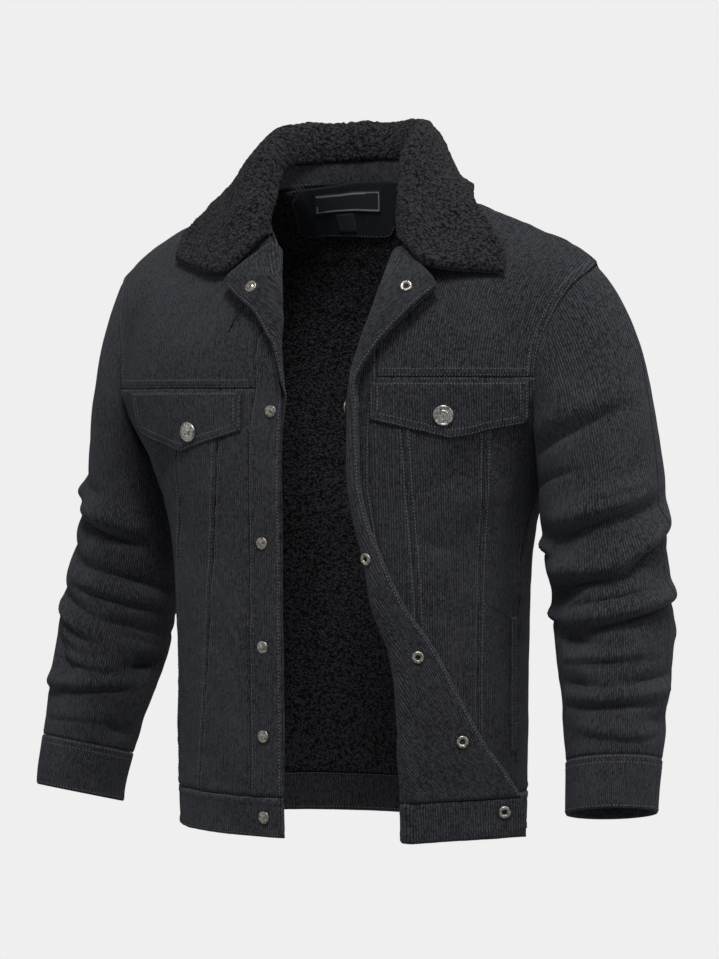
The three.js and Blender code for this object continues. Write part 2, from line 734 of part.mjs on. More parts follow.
  // Chest pocket flap with its point, lying on the panels.
  const f0 = side > 0 ? 90 : 48;
  const f1 = side > 0 ? 242 : 203;
  const flapTop = side > 0 ? -198 : -207;
  const corner = side > 0 ? -234 : -245;
  const point = side > 0 ? -251 : -265;
  const flapLow = (s) => mix(point, corner, Math.abs((s - (f0 + f1) / 2) / ((f1 - f0) / 2)));
  const body = (s, t) => torso(1, side * s, t);
  piece(
    `${word}_pocket_flap`,
    patch(body, turn, steps(10), steps(2), panel(() => f0, () => f1, flapLow, () => flapTop), SHELL + 1, SHELL + 3.2),
    CORD
  );
  const buttonS = (f0 + f1) / 2 + (side > 0 ? -5 : -13);
  const buttonT = side > 0 ? -229 : -246;
  const buttonN = normalOf(body, buttonS, buttonT, turn);
  const buttonP = add(body(buttonS, buttonT), buttonN, SHELL + 3.7);
  piece(`${word}_flap_button`, turned(buttonP, buttonN, BUTTON, false, 12), METAL);
  // Slanted hand pocket with its welt.
  const weltS = side > 0 ? (t) => 238 - (t + 493) * 0.01 : (t) => 222 - (t + 493) * 0.01;
  piece(
    `${word}_pocket_welt`,
    patch(body, turn, steps(1), steps(5), panel((t) => weltS(t), (t) => weltS(t) + 12, () => -560, () => -426), SHELL + 0.7, SHELL + 1.8),
    CORD
  );
  // Snaps: studs on the outside of the right placket, sockets on the inside of the left edge.
  const snaps = side > 0 ? [-113, -222, -366, -461, -545, -614] : [-111, -226, -354, -455, -542, -621];
  snaps.forEach((t, k) => {
    const inside = side > 0 || k === 0;
    const thick = UNDER + SHELL;
    const over = t < BAND_Z ? SHELL + 0.4 : SHELL + 0.3;
    const near = k === 1 || (side > 0 && k === 2);
    const d = near ? 13 : k === 0 ? 27 : SNAP_D;
    const m = normalOf(surface, d, t, turn);
    const inward = k < 2 ? -thick - 0.1 : -thick - 0.6;
    const base = add(surface(d, t), m, inside ? inward : over + 0.7);
    const axis = inside ? m.map((x) => -x) : m;
    const kind = side > 0 ? "socket" : "stud";
    const shape = side > 0 ? SOCKET : STUD;
    piece(`${word}_snap_${kind}_${k + 1}`, turned(base, axis, shape, side > 0), METAL);
  });
}

// Back, with its lining, its hem band and the facing at the neck.
const back = (s, t) => torso(-1, s, t);
const backSide = (t) => edgeS(-1, t);
const backTop = (s) => crestT(-1, s);
const BACK_COLUMNS = [0, 26, 52, 78, 108, 140, 172, 205]; // fixed columns; the rest spread out to the side or the armhole
const BACK_LAST = [0.5, 0.8, 1];
function backColumns(inset) {
  return (u, t) => {
    const k = Math.round(Math.abs(u));
    const edge = backSide(t) - SEAM - inset;
    const fixed = BACK_COLUMNS.length - 1;
    const s = k <= fixed ? BACK_COLUMNS[k] : mix(BACK_COLUMNS[fixed], edge, BACK_LAST[k - fixed - 1]);
    return u < 0 ? -s : s;
  };
}
const backUs = Array.from({ length: 21 }, (_, k) => k - 10);
const backHeights = [BAND_Z, -510, -420, -350, -290, -257, -248, YOKE_T];
const backRows = backHeights.map((t) => (t - BAND_Z) / (YOKE_T - BAND_Z));
const backUp = [0.2, 0.36, 0.5, 0.64, 0.78, 0.9, 1].map((v) => v + 1);
piece(
  "back_panel",
  patch(back, -1, backUs, [...backRows, ...backUp], between(backColumns(0), () => BAND_Z, () => YOKE_T, backTop), 0, SHELL),
  CORD
);
piece(
  "lining_back",
  patch(
    back,
    -1,
    backUs,
    [...backRows, ...backUp],
    between(backColumns(2.4), () => BAND_Z, () => YOKE_T, (s) => backTop(s) - 3.4),
    -UNDER - PILE,
    -UNDER
  ),
  PLUSH
);
piece(
  "back_hem_band",
  patch(back, -1, steps(18), steps(2), panel((t) => -backSide(t), backSide, () => HEM_Z, () => BAND_Z), -UNDER - SHELL, SHELL + 0.4),
  CORD
);

// Facing at the neck, label and size tab, each laid on the one before it, on the inside of the back.
const FACING_LEFT = -96; // lower corners of the facing
const FACING_RIGHT = 11;
const rounded = (s) => {
  const in0 = Math.min(s - FACING_LEFT, FACING_RIGHT - s);
  return in0 >= 14 ? 0 : 14 - Math.sqrt(Math.max(0, 14 * 14 - (14 - Math.max(0, in0)) ** 2));
};
const napeTop = (s) => backTop(s) - 6;
piece(
  "neck_facing",
  patch(
    back,
    -1,
    [0, 0.03, 0.08, 0.17, 0.29, 0.42, 0.54, 0.67, 0.79, 0.92, 0.97, 1],
    steps(4),
    panel((t) => FACING_LEFT + (t + 31) * 0.28, (t) => FACING_RIGHT + (t + 27) * 0.42, (s) => -29 + rounded(s), napeTop),
    -UNDER - PILE - 3.4,
    -UNDER - PILE - 2
  ),
  CORD
);
piece(
  "neck_label",
  patch(back, -1, steps(6), steps(3), panel((t) => -70 + (t - 5) * 0.24, (t) => 1 + (t - 1) * 0.22, (s) => 5 - (s + 70) * 0.056, (s) => Math.min(30, napeTop(s) - 3)), -UNDER - PILE - 4.6, -UNDER - PILE - 3.9),
  PALE
);
piece(
  "size_tab",
  patch(back, -1, steps(2), steps(2), panel(() => -52, () => -33, () => -21, () => 1), -UNDER - PILE - 4.6, -UNDER - PILE - 3.9),
  PALE
);

// Sleeves and cuffs.
function makeSleeve(side) {
  const table = side > 0 ? LEFT_SLEEVE : RIGHT_SLEEVE;
  const folds = side > 0 ? LEFT_FOLDS : RIGHT_FOLDS;
  // The armhole from the shoulder tip down the front to the side seam and up the back again.
  const half = (face) => {
    const places = [];
    for (let k = 0; k <= 48; k += 1) {
      const t = mix(crestT(face, TIP_S) - 0.5, ARMPIT_T, k / 48);
      places.push([edgeS(face, t), t]);
    }
    return places.map(([s, t], k) => {
      const a = places[Math.max(0, k - 1)];
      const b = places[Math.min(48, k + 1)];
      const tangent = unit([b[0] - a[0], b[1] - a[1], 0]);
      const low = Math.min(1, Math.max(0, (-212 - t) / 30));
      const away = mix(2.8, 4, low);
      const place = [s - tangent[1] * away, t + tangent[0] * away];
      const p = torso(face, place[0], place[1]);
      const n = normalOf((x, y) => torso(face, x, y), place[0], place[1], face);
      return add(p, n, low * 2.2);
    });
  };
  const front = half(1);
  const rear = half(-1).reverse();
  const loop = [...front, ...rear.slice(1, -1)];
  const lengths = [0];
  for (let k = 1; k <= loop.length; k += 1) {
    lengths.push(lengths[k - 1] + size(sub(loop[k % loop.length], loop[k - 1])));
  }
  const around = lengths[loop.length];
  const armhole = (turn) => {
    const at = (((turn % 1) + 1) % 1) * around;
    let k = 0;
    while (k < loop.length - 1 && at > lengths[k + 1]) k += 1;
    const w = (at - lengths[k]) / (lengths[k + 1] - lengths[k]);
    return mixPoint(loop[k], loop[(k + 1) % loop.length], w);
  };
  const joinZ = -300;
  const ring = (turn, height) => {
    const [cx, cy, rx, ry] = read(table, height);
    const angle = turn * 2 * Math.PI;
    const across = rx * Math.cos(angle);
    const deep = -ry * Math.sin(angle);
    // Lower down the rings lean with the arm.
    const lean = Math.min(1, Math.max(0, (joinZ - height) / 120));
    return [cx + across, cy + deep, height + lean * (0.13 * across - 0.2 * deep)];
  };
  // v from 0 at the armhole to 1 at the join, then 1 + distance below it in mm.
  const plain = (turn, v) => {
    if (v > 1) return ring(turn, joinZ - (v - 1));
    const a = armhole(turn);
    const b = ring(turn, joinZ);
    const length = size(sub(a, b));
    const angle = turn * 2 * Math.PI;
    // The left arm stands further out than the right one.
    const [swing, spread] = side > 0 ? [0.35, 0.4] : [0.15, 0.2];
    const out = unit([swing + spread * Math.cos(angle), -0.3 * Math.sin(angle), -0.75]);
    const down = unit([0.1, 0, -1]);
    return hermite(a, out.map((x) => x * length * 1.0), b, down.map((x) => x * Math.max(length, 60) * 0.9), v);
  };
  return (turn, v) => {
    const p = plain(turn, v);
    const t = ((turn % 1) + 1) % 1;
    let lift = 0;
    for (const k of [-1, 0, 1]) lift += foldLift(folds, t + k, p[2], 370);
    const quiet = v < 1 ? v : Math.min(1, Math.max(0, (joinZ - (v - 1) - table[6][0]) / 18));
    const axis = read(table, Math.min(joinZ, p[2]));
    const out = unit([p[0] - axis[0], p[1] - axis[1], 0]);
    const moved = add(p, out, lift * quiet);
    return side > 0 ? moved : [-moved[0], moved[1], moved[2]];
  };
}
for (const side of [-1, 1]) {
  const word = side > 0 ? "left" : "right";
  const surface = makeSleeve(side);
  const table = side > 0 ? LEFT_SLEEVE : RIGHT_SLEEVE;
  const seam = table[6][0];
  const turns = Array.from({ length: 16 }, (_, k) => k / 16);
  const long = -300 - seam;
  const rows = [0, 0.14, 0.34, 0.56, 0.78, 1, ...Array.from({ length: 12 }, (_, k) => 1 + (long * (k + 1)) / 12)];
  const same = (u, v) => [u, v];
  piece(`${word}_sleeve`, patch(surface, side > 0 ? 1 : -1, turns, rows, same, 0, SHELL, true), CORD);
  piece(
    `${word}_cuff`,
    patch(surface, side > 0 ? 1 : -1, turns, [1.4 + long, 1 + long + CUFF], same, -0.3, SHELL + 0.6, true),
    CORD
  );
}

// Collar: a smooth surface through its stations, from the right front end over the centre back to the left one.
const flip = (station) => station.map(([x, y, z]) => [-x, y, z]);
const STATIONS = [
  ...COLLAR_RIGHT.slice().reverse().map(flip),
  COLLAR_BACK,
  ...COLLAR_LEFT,
];
const LAST = STATIONS.length - 1;
function spline(points, at) {
  const n = points.length - 1;
  const k = Math.min(n - 1, Math.max(0, Math.floor(at)));
  const w = at - k;
  const get = (i) => points[Math.min(n, Math.max(0, i))];
  const slope = (i) => {
    const reach = Math.min(n, i + 1) - Math.max(0, i - 1);
    return sub(get(i + 1), get(i - 1)).map((x) => x / reach);
  };
  return hermite(get(k), slope(k), get(k + 1), slope(k + 1), w);
}
function collar(along, profile) {
  const across = STATIONS.map((station) => spline(station, profile));
  return spline(across, along);
}
const ends = (n) => Array.from({ length: n + 1 }, (_, k) => mix(0.02, LAST - 0.02, k / n));
const place = (u, v) => [u, v];
piece("collar_stand", patch(collar, 1, ends(24), [0, 0.5, 0.92], place, -1, 1), CORD);
piece(
  "collar",
  patch(collar, 1, ends(24), [1.07, 1.5, 2, 2.5, 3, 3.5, 4, 4.6, 5.3, 6], place, 0, COLLAR_PILE),
  PLUSH
);
piece("under_collar", patch(collar, 1, ends(24), [3.5, 4, 4.6, 5.3, 5.97], place, -2.2, -0.3), CORD);

export default group;
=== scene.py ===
"""Looks of the sherpa lined jacket: cloth, pile, stitching, snaps, light and camera.

The surfaces are the same ones as in the solids, in millimetres until the meshes are made:
a torso skin that unrolls from the centre line, fronts with a turned edge, sleeves and a collar.
"""

import math

import bpy
import numpy as np
from mathutils import Matrix

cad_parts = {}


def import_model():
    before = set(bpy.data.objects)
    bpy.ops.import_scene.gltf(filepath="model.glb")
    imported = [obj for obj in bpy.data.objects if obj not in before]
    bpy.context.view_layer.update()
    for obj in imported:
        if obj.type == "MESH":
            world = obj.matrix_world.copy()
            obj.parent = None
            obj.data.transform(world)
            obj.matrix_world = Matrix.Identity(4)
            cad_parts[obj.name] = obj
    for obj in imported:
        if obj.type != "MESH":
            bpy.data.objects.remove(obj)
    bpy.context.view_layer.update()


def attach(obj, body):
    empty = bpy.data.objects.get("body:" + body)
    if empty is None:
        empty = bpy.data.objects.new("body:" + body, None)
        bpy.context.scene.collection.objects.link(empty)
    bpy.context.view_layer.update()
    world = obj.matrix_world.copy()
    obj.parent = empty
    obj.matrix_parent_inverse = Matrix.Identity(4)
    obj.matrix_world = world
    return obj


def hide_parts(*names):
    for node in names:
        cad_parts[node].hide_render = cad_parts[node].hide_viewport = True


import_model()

# Main sizes in mm, as in the solids.
HEM_Z, BAND_Z, YOKE_T, ARMPIT_T = -641.0, -601.0, -203.0, -257.0
SHELL, PILE, UNDER, COLLAR_PILE = 2.0, 4.6, 2.6, 6.0
SEAM, NECK_S, TIP_S = 0.16, 78.0, 262.0
PLACKET, FACING, SNAP_D = 35.0, 55.0, 20.0
# Flap buttons: distance from the flap's middle, height.
FLAP_BUTTON = {1: (-5.0, -229.0), -1: (-13.0, -246.0)}

# Torso rows: height, half width, depth in front, depth behind, roundness of the section.
TORSO = [
    (-645, 178, 132, 128, 2.15), (-600, 179, 134, 130, 2.15), (-480, 181, 135, 126, 2.15),
    (-380, 185, 137, 126, 2.15), (-340, 190, 137, 126, 2.17), (-300, 202, 138, 128, 2.2),
    (-272, 214, 138, 130, 2.22), (-250, 227, 138, 130, 2.25), (-225, 240, 137, 130, 2.28),
    (-203, 248, 136, 130, 2.3),
]
# Shoulder crest: distance from the centre, depth, height. Then the back neckline in the same way.
CREST = [(0, 4, 2), (78, 5, 0), (140, 8, -20), (205, 10, -44), (235, 10, -60), (256, 8, -78), (262, 8, -85),
         (330, 8, -165)]
# How much lower the left shoulder is, from the neck to the tip.
LEFT_DROP = [(78, 0), (140, 5), (205, 7), (235, 4), (256, 0)]
NAPE = [(0, 58, 8), (22, 56, 8), (42, 47, 6), (58, 33, 4), (70, 18, 2), (78, 5, 0)]
# Fronts: height, fold (distance of the roll from the centre), turned (cloth turned back past the roll).
ROLL = {-1: 5.4, 1: 7.0}
FLAT = -math.pi * ROLL[-1]
FRONTS = {
    -1: [(-640, 5, FLAT), (-260, 5, FLAT), (-225, 6, FLAT * 0.75), (-200, 9, -6), (-167, 14, -2), (-138, 17, 15),
         (-118, 21, 38), (-98, 26, 56), (-61, 37, 59), (-15, 62, 59), (20, 75, 59), (56, 78, 59)],
    1: [(-640, 124, 110), (-612, 124, 109), (-579, 124, 93), (-549, 122, 74), (-505, 121, 52), (-487, 120, 44),
        (-452, 113, 34), (-412, 99, 22), (-366, 92, 9), (-330, 84, 5), (-289, 79, 4), (-226, 80, 3), (-199, 82, 0),
        (-162, 92, 12), (-133, 99, 30), (-99, 103, 50), (-65, 104, 51), (-10, 89, 51), (22, 81, 51), (56, 78, 51)],
}
# Vertical seams on the fronts: height, seam A, seam B, as distances from the centre.
SEAMS = {
    -1: [(-640, 116, 184), (-500, 102, 172), (-381, 90, 160), (-305, 83, 144), (-203, 75, 132)],
    1: [(-640, 137, 194), (-500, 134, 193), (-385, 129, 195), (-328, 125, 197), (-194, 121, 200)],
}
ARMHOLE = [(-68, 262), (-100, 258), (-140, 254), (-180, 250), (-205, 251), (-225, 257), (-240, 267), (-250, 280),
           (-255, 293)]
# Sleeves: height, centre across, centre in depth, half width, half depth.
SLEEVES = {
    1: [(-300, 267, 14, 56, 74), (-360, 272, 14, 56, 70), (-415, 279, 11, 55, 65), (-460, 286, 4, 53.5, 61),
        (-510, 293, -11, 48.5, 54), (-540, 296, -19, 45.5, 50), (-560, 298, -26, 43.5, 47),
        (-611, 301, -38, 41.5, 44.5)],
    -1: [(-300, 257, 15, 46, 68), (-360, 266, 15, 52, 66), (-415, 276, 11, 55.5, 62), (-460, 282, 4, 54, 60),
         (-515, 289, -11, 49, 54), (-545, 292, -20, 45.5, 49), (-569, 294, -27, 43.5, 47),
         (-619, 296, -39, 41.5, 44.5)],
}
CUFF = 50.0
# Sleeve folds: turn and height at both ends, half width, height of the fold (minus for a crease).
ARM_FOLDS = {
    1: [
        (0.09, -224, 0.33, -264, 9, -7), (0.1, -208, 0.34, -246, 14, 5), (0.05, -303, 0.32, -335, 13, 7),
        (0.24, -344, 0.36, -342, 10, -6),
        (-0.06, -326, 0.16, -372, 12, 7), (0.16, -372, 0.37, -384, 12, 7), (0.28, -402, 0.42, -398, 12, -8),
        (-0.05, -401, 0.32, -427, 11, 8), (0.24, -446, 0.36, -442, 11, -7), (0.36, -486, 0.2, -489, 8, -5.5),
        (0.2, -489, -0.04, -477, 8, -5.5), (0.34, -498, -0.02, -492, 9, 5), (-0.08, -517, 0.06, -520, 11, -5),
        (0.1, -530, 0.3, -526, 8, 2.5), (0.6, -330, 0.85, -310, 14, 6), (0.6, -380, 0.92, -360, 13, -5),
        (0.58, -420, 0.88, -440, 14, 6), (0.62, -480, 0.9, -470, 10, -4), (0.55, -530, 0.85, -515, 10, 3),
    ],
    -1: [
        (0.05, -306, 0.14, -310, 11, 5), (0.14, -322, 0.4, -350, 14, 7), (0.08, -362, 0.23, -387, 9, -5),
        (0.23, -387, 0.47, -410, 9, -6), (0.2, -398, 0.46, -424, 9, 5), (0.08, -408, 0.26, -437, 9, -5.5),
        (0.26, -437, 0.5, -457, 10, -6), (0.1, -425, 0.3, -455, 9, 5), (0.14, -458, 0.24, -492, 9, -5),
        (0.42, -489, 0.54, -489, 12, -7), (0.1, -504, 0.43, -504, 8, 4), (0.38, -548, 0.49, -559, 8, -4),
        (0.6, -330, 0.85, -318, 14, 6), (0.62, -384, 0.92, -364, 13, -5), (0.6, -424, 0.88, -442, 14, 6),
        (0.64, -486, 0.9, -474, 10, -4),
    ],
}
# Sharper creases that only the cloth here has, in the same columns.
ARM_CREASES = {
    1: [
        (0.02, -312, 0.26, -340, 4, -2.2), (0.06, -292, 0.22, -310, 6, 1.6), (-0.04, -338, 0.14, -384, 4, -2.4),
        (0.12, -384, 0.36, -396, 4, -2.4), (0.0, -413, 0.3, -440, 4, -2.6), (0.08, -392, 0.3, -409, 5, 1.8),
        (0.1, -455, 0.34, -462, 5, 1.8), (0.02, -462, 0.28, -470, 4, -1.6), (0.14, -508, 0.32, -512, 4, -1.4),
        (0.02, -530, 0.2, -536, 5, 1.2), (0.12, -545, 0.34, -541, 5, -1.1), (0.03, -260, 0.12, -300, 7, -1.5),
        (0.2, -280, 0.4, -300, 6, -1.8), (0.36, -360, 0.47, -352, 6, 2.5), (0.36, -425, 0.47, -420, 6, 2.5),
        (0.55, -350, 0.8, -336, 5, -2), (0.6, -400, 0.9, -384, 5, -2), (0.58, -455, 0.86, -462, 5, -2.2),
        (0.6, -505, 0.88, -492, 5, -1.6),
    ],
    -1: [
        (0.1, -300, 0.3, -318, 6, -1.8), (0.12, -334, 0.36, -362, 4, -2.4), (0.1, -372, 0.24, -398, 4, -2),
        (0.22, -399, 0.45, -424, 4, -2.2), (0.1, -417, 0.28, -447, 4, -2.2), (0.28, -448, 0.5, -468, 4, -2.2),
        (0.12, -440, 0.26, -470, 5, 1.8), (0.16, -474, 0.34, -488, 5, 1.8), (0.2, -497, 0.42, -497, 4, -1.6),
        (0.12, -518, 0.36, -522, 4, -1.4), (0.16, -536, 0.4, -540, 5, 1.3), (0.1, -552, 0.3, -556, 5, -1),
        (0.02, -270, 0.16, -300, 7, -1.6), (0.55, -352, 0.8, -338, 5, -2), (0.6, -404, 0.9, -388, 5, -2),
        (0.58, -456, 0.86, -464, 5, -2.2), (0.6, -505, 0.88, -494, 5, -1.6),
    ],
}
# Collar stations from the centre back to the front end: neck seam, stand top, inner roll, top of the roll,
# outer roll, middle of the fall, outer edge.
COLLAR_BACK = [(0, 57, 12), (0, 59, 27), (0, 61, 46), (0, 73, 62), (0, 86, 47), (0, 95, 16), (0, 99, -11)]
COLLARS = {
    -1: [
        [(38, 49, 11), (38, 50, 26), (38, 51, 45), (47, 62, 62), (60, 71, 47), (67, 79, 13), (72, 77, -20)],
        [(64, 28, 9), (61, 28, 24), (60, 27, 43), (71, 32, 60), (88, 38, 45), (106, 46, 10), (124, 50, -28)],
        [(77, 5, 6), (73, 2, 21), (69, 0, 38), (79, 1, 53), (97, 4, 41), (128, 10, 6), (158, 14, -19)],
        [(77, -28, -5), (74, -29, 4), (71, -31, 15), (79, -36, 27), (97, -36, 18), (125, -28, -12), (164, -11, -30)],
        [(63, -56, -30), (61, -59, -25), (60, -63, -21), (66, -71, -21), (82, -75, -28), (114, -68, -47),
         (168, -41, -50)],
        [(49, -79, -52), (50, -85, -54), (53, -94, -60), (60, -106, -73), (77, -114, -90), (109, -106, -89),
         (161, -72, -76)],
    ],
    1: [
        [(38, 49, 11), (38, 50, 26), (38, 51, 45), (43, 62, 62), (55, 71, 47), (62, 79, 13), (67, 77, -20)],
        [(64, 28, 9), (59, 28, 24), (56, 27, 43), (63, 32, 58), (72, 38, 44), (89, 46, 11), (103, 52, -24)],
        [(77, 5, 6), (73, 2, 21), (69, 0, 38), (76, 1, 51), (85, 4, 40), (102, 10, 9), (127, 14, -10)],
        [(80, -25, -4), (78, -27, 6), (76, -29, 17), (82, -33, 28), (91, -34, 19), (109, -27, -8), (145, -15, -25)],
        [(88, -50, -28), (87, -53, -22), (87, -57, -17), (92, -64, -15), (101, -67, -21), (127, -60, -44),
         (189, -45, -66)],
        [(99, -85, -60), (101, -90, -62), (107, -96, -64), (117, -105, -71), (128, -109, -80), (146, -102, -89),
         (200, -66, -93)],
    ],
}
# Body folds: distance from the centre (minus for the wearer's right) and height at both ends, half width, height.
FRONT_FOLDS = [
    (-86, -385, -42, -443, 12, 3.5), (-96, -372, -52, -424, 9, -3), (-92, -470, -76, -500, 10, 3),
    (-150, -300, -128, -380, 14, -3), (-190, -300, -150, -262, 12, -4), (-60, -470, -50, -590, 16, 3),
    (-150, -520, -140, -595, 15, -3), (130, -349, 162, -357, 9, -2.5), (150, -300, 190, -262, 14, -2.5),
    (168, -330, 206, -300, 12, 4), (160, -440, 150, -590, 16, 3), (205, -120, 235, -190, 16, -3),
    (-205, -120, -235, -190, 16, -3),
]
BACK_FOLDS = [
    (-150, -120, -190, -230, 22, 5), (150, -120, 190, -230, 22, 5), (-175, -200, -120, -270, 16, -4),
    (175, -200, 120, -270, 16, -4), (-90, -330, 60, -352, 18, -4), (-60, -380, 100, -366, 18, 4),
    (-120, -450, -105, -590, 20, 4), (110, -460, 100, -590, 20, 4), (0, -430, 5, -590, 20, -3),
]
# Finer creases of the shell alone, on the front and on the back.
FRONT_CREASES = [
    (-90, -396, -50, -448, 4, -1.6), (-78, -378, -44, -424, 4, 1.3), (-96, -470, -80, -494, 5, -1.4),
    (-70, -420, -48, -470, 5, 1.2), (-120, -300, -104, -372, 6, -1.2), (-196, -270, -160, -236, 6, -1.6),
    (-224, -190, -214, -262, 7, -1.8), (-58, -560, -54, -596, 6, 1.2), (134, -352, 172, -361, 4, -1.5),
    (140, -300, 180, -286, 5, -1.3), (205, -262, 238, -236, 6, -1.8), (236, -190, 226, -262, 7, -1.6),
    (150, -410, 146, -520, 7, 1.2), (172, -420, 176, -560, 7, -1.0), (-220, -330, -196, -300, 7, -1.5),
    (-150, -430, -146, -560, 8, 1.1), (216, -330, 222, -420, 7, 1.2), (120, -140, 170, -176, 9, -1.2),
    (-110, -130, -160, -176, 9, -1.2), (182, -100, 228, -128, 8, 1.2), (-186, -100, -230, -128, 8, 1.2),
]
BACK_CREASES = [
    (-170, -150, -204, -236, 8, -2), (170, -150, 204, -236, 8, -2), (-60, -318, 40, -336, 7, 1.6),
    (-30, -362, 96, -350, 7, -1.6), (-130, -300, -90, -330, 7, 1.4), (140, -320, 100, -350, 7, 1.4),
    (-140, -470, -128, -590, 8, 1.4), (124, -480, 118, -590, 8, 1.4), (40, -440, 44, -585, 8, 1.2),
    (-44, -450, -40, -585, 8, -1.2),
]


# Small numeric helpers.
def unit(a):
    return a / np.maximum(np.linalg.norm(a, axis=-1, keepdims=True), 1e-9)


def mix(a, b, k):
    return a + (b - a) * k


def ramp(x, low, high):
    """0 below low, 1 above high, smooth between."""
    w = np.clip((x - low) / (high - low), 0.0, 1.0)
    return w * w * (3 - 2 * w)


def hermite(a, ma, b, mb, w):
    return (2 * w**3 - 3 * w**2 + 1) * a + (w**3 - 2 * w**2 + w) * ma + (3 * w**2 - 2 * w**3) * b + (w**3 - w**2) * mb


def read(rows, at):
    """A smooth curve through a table's rows, one array for each column after the first."""
    rows = np.array(rows, float)
    if rows[1, 0] < rows[0, 0]:
        rows = rows[::-1]
    x = rows[:, 0]
    at = np.clip(at, x[0], x[-1])
    k = np.clip(np.searchsorted(x, at) - 1, 0, len(x) - 2)
    span = x[k + 1] - x[k]
    w = (at - x[k]) / span
    out = []
    for c in range(1, rows.shape[1]):
        y = rows[:, c]
        step = np.diff(y) / np.diff(x)
        slope = np.zeros(len(x))
        both = step[:-1] * step[1:]
        total = np.where(both > 0, step[:-1] + step[1:], 1.0)
        slope[1:-1] = np.where(both > 0, 2 * both / total, 0.0)
        out.append(hermite(y[k], slope[k] * span, y[k + 1], slope[k + 1] * span, w))
    return out


def chance(ix, iy, seed):
    """An even random number for each whole pair."""
    h = np.sin(ix * 127.1 + iy * 311.7 + seed * 74.7) * 43758.5453
    return h - np.floor(h)


def noise(u, v, cell, seed=0):
    """Soft value noise from -1 to 1."""
    x, y = u / cell, v / cell
    ix, iy = np.floor(x), np.floor(y)
    fx, fy = x - ix, y - iy
    fx, fy = fx * fx * (3 - 2 * fx), fy * fy * (3 - 2 * fy)
    low = mix(chance(ix, iy, seed), chance(ix + 1, iy, seed), fx)
    high = mix(chance(ix, iy + 1, seed), chance(ix + 1, iy + 1, seed), fx)
    return 2 * mix(low, high, fy) - 1


def curls(u, v, cell, seed=0):
    """Round tufts of pile, 0 in the gaps and 1 on the tops."""
    x, y = u / cell, v / cell
    ix, iy = np.floor(x), np.floor(y)
    best = np.zeros_like(x)
    for dx in (-1, 0, 1):
        for dy in (-1, 0, 1):
            cx, cy = ix + dx, iy + dy
            far = np.hypot(x - cx - chance(cx, cy, seed), y - cy - chance(cx, cy, seed + 1))
            far = far / (0.5 + 0.35 * chance(cx, cy, seed + 2))
            tuft = np.sqrt(np.maximum(0, 1 - far * far)) * (0.6 + 0.4 * chance(cx, cy, seed + 3))
            best = np.maximum(best, tuft)
    return best


def fold_lift(folds, u, v, scale=1.0):
    """Sum of a fold table at places on the cloth. Ends fade out softly."""
    total = np.zeros(np.broadcast(u, v).shape)
    for u0, v0, u1, v1, half, rise in folds:
        ax, ay = (u1 - u0) * scale, v1 - v0
        px, py = (u - u0) * scale, v - v0
        inside = np.clip((px * ax + py * ay) / (ax * ax + ay * ay), 0, 1)
        off = np.hypot(px - ax * inside, py - ay * inside) / half
        fade = np.sin(np.pi * (0.12 + 0.76 * inside)) ** 0.7
        total += rise * fade * np.exp(-off * off)
    return total


def sharp_lift(folds, u, v, scale=1.0):
    """As fold_lift, but a ridge falls off steeply on its lower side with a hollow under it, and a crease is a V."""
    total = np.zeros(np.broadcast(u, v).shape)
    for u0, v0, u1, v1, half, rise in folds:
        ax, ay = (u1 - u0) * scale, v1 - v0
        px, py = (u - u0) * scale, v - v0
        long = math.hypot(ax, ay)
        along = (px * ax + py * ay) / long**2
        inside = np.clip(along, 0, 1)
        down = (px * -ay + py * ax) / long * (-1 if ax > 0 else 1) / half
        past = np.abs(along - inside) * long / half
        fade = np.sin(np.pi * (0.1 + 0.8 * inside)) ** 0.8 * np.exp(-past * past)
        if rise > 0:
            shape = np.exp(-np.where(down < 0, down, 1.7 * down) ** 2) - 0.5 * np.exp(-(((down - 1.05) / 0.45) ** 2))
        else:
            shape = np.exp(-1.3 * (down * down + 0.02) ** 0.6)
        total += rise * fade * shape
    return total


# The torso skin. Each section is kept as x and y at every mm of height and of distance from the centre line.
HEIGHTS = np.arange(-652.0, -202.0)
REACH = np.arange(0.0, 430.0)


def quarter(face):
    wide, front, back, rnd = read(TORSO, HEIGHTS)
    deep = front if face > 0 else back
    angle = np.linspace(0, math.pi / 2, 73)
    x = wide[:, None] * np.sin(angle) ** (2 / rnd[:, None])
    y = -face * deep[:, None] * np.abs(np.cos(angle)) ** (2 / rnd[:, None])
    length = np.zeros_like(x)
    length[:, 1:] = np.cumsum(np.hypot(np.diff(x), np.diff(y)), axis=1)
    return x, y, length


QUARTERS = {1: quarter(1), -1: quarter(-1)}
RINGS = {}
for face in (1, -1):
    (xa, ya, la), (xb, yb, lb) = QUARTERS[face], QUARTERS[-face]
    rx, ry = np.zeros((len(HEIGHTS), len(REACH))), np.zeros((len(HEIGHTS), len(REACH)))
    for i in range(len(HEIGHTS)):
        near = REACH <= la[i, -1]
        back = lb[i, -1] - (REACH - la[i, -1])
        rx[i] = np.where(near, np.interp(REACH, la[i], xa[i]), np.interp(back, lb[i], xb[i]))
        ry[i] = np.where(near, np.interp(REACH, la[i], ya[i]), np.interp(back, lb[i], yb[i]))
    RINGS[face] = (rx, ry, la[:, -1])


def ring_point(face, s, height):
    rx, ry, _ = RINGS[face]
    a = np.clip(np.abs(s), 0, len(REACH) - 1.001)
    h = np.clip(height - HEIGHTS[0], 0, len(HEIGHTS) - 1.001)
    i, j = h.astype(int), a.astype(int)
    fi, fj = h - i, a - j
    out = [mix(mix(r[i, j], r[i, j + 1], fj), mix(r[i + 1, j], r[i + 1, j + 1], fj), fi) for r in (rx, ry)]
    return np.stack([np.where(s < 0, -out[0], out[0]), out[1], height + 0 * a], axis=-1)


def side_s(face, t):
    return np.interp(np.minimum(t, YOKE_T), HEIGHTS, RINGS[face][2])


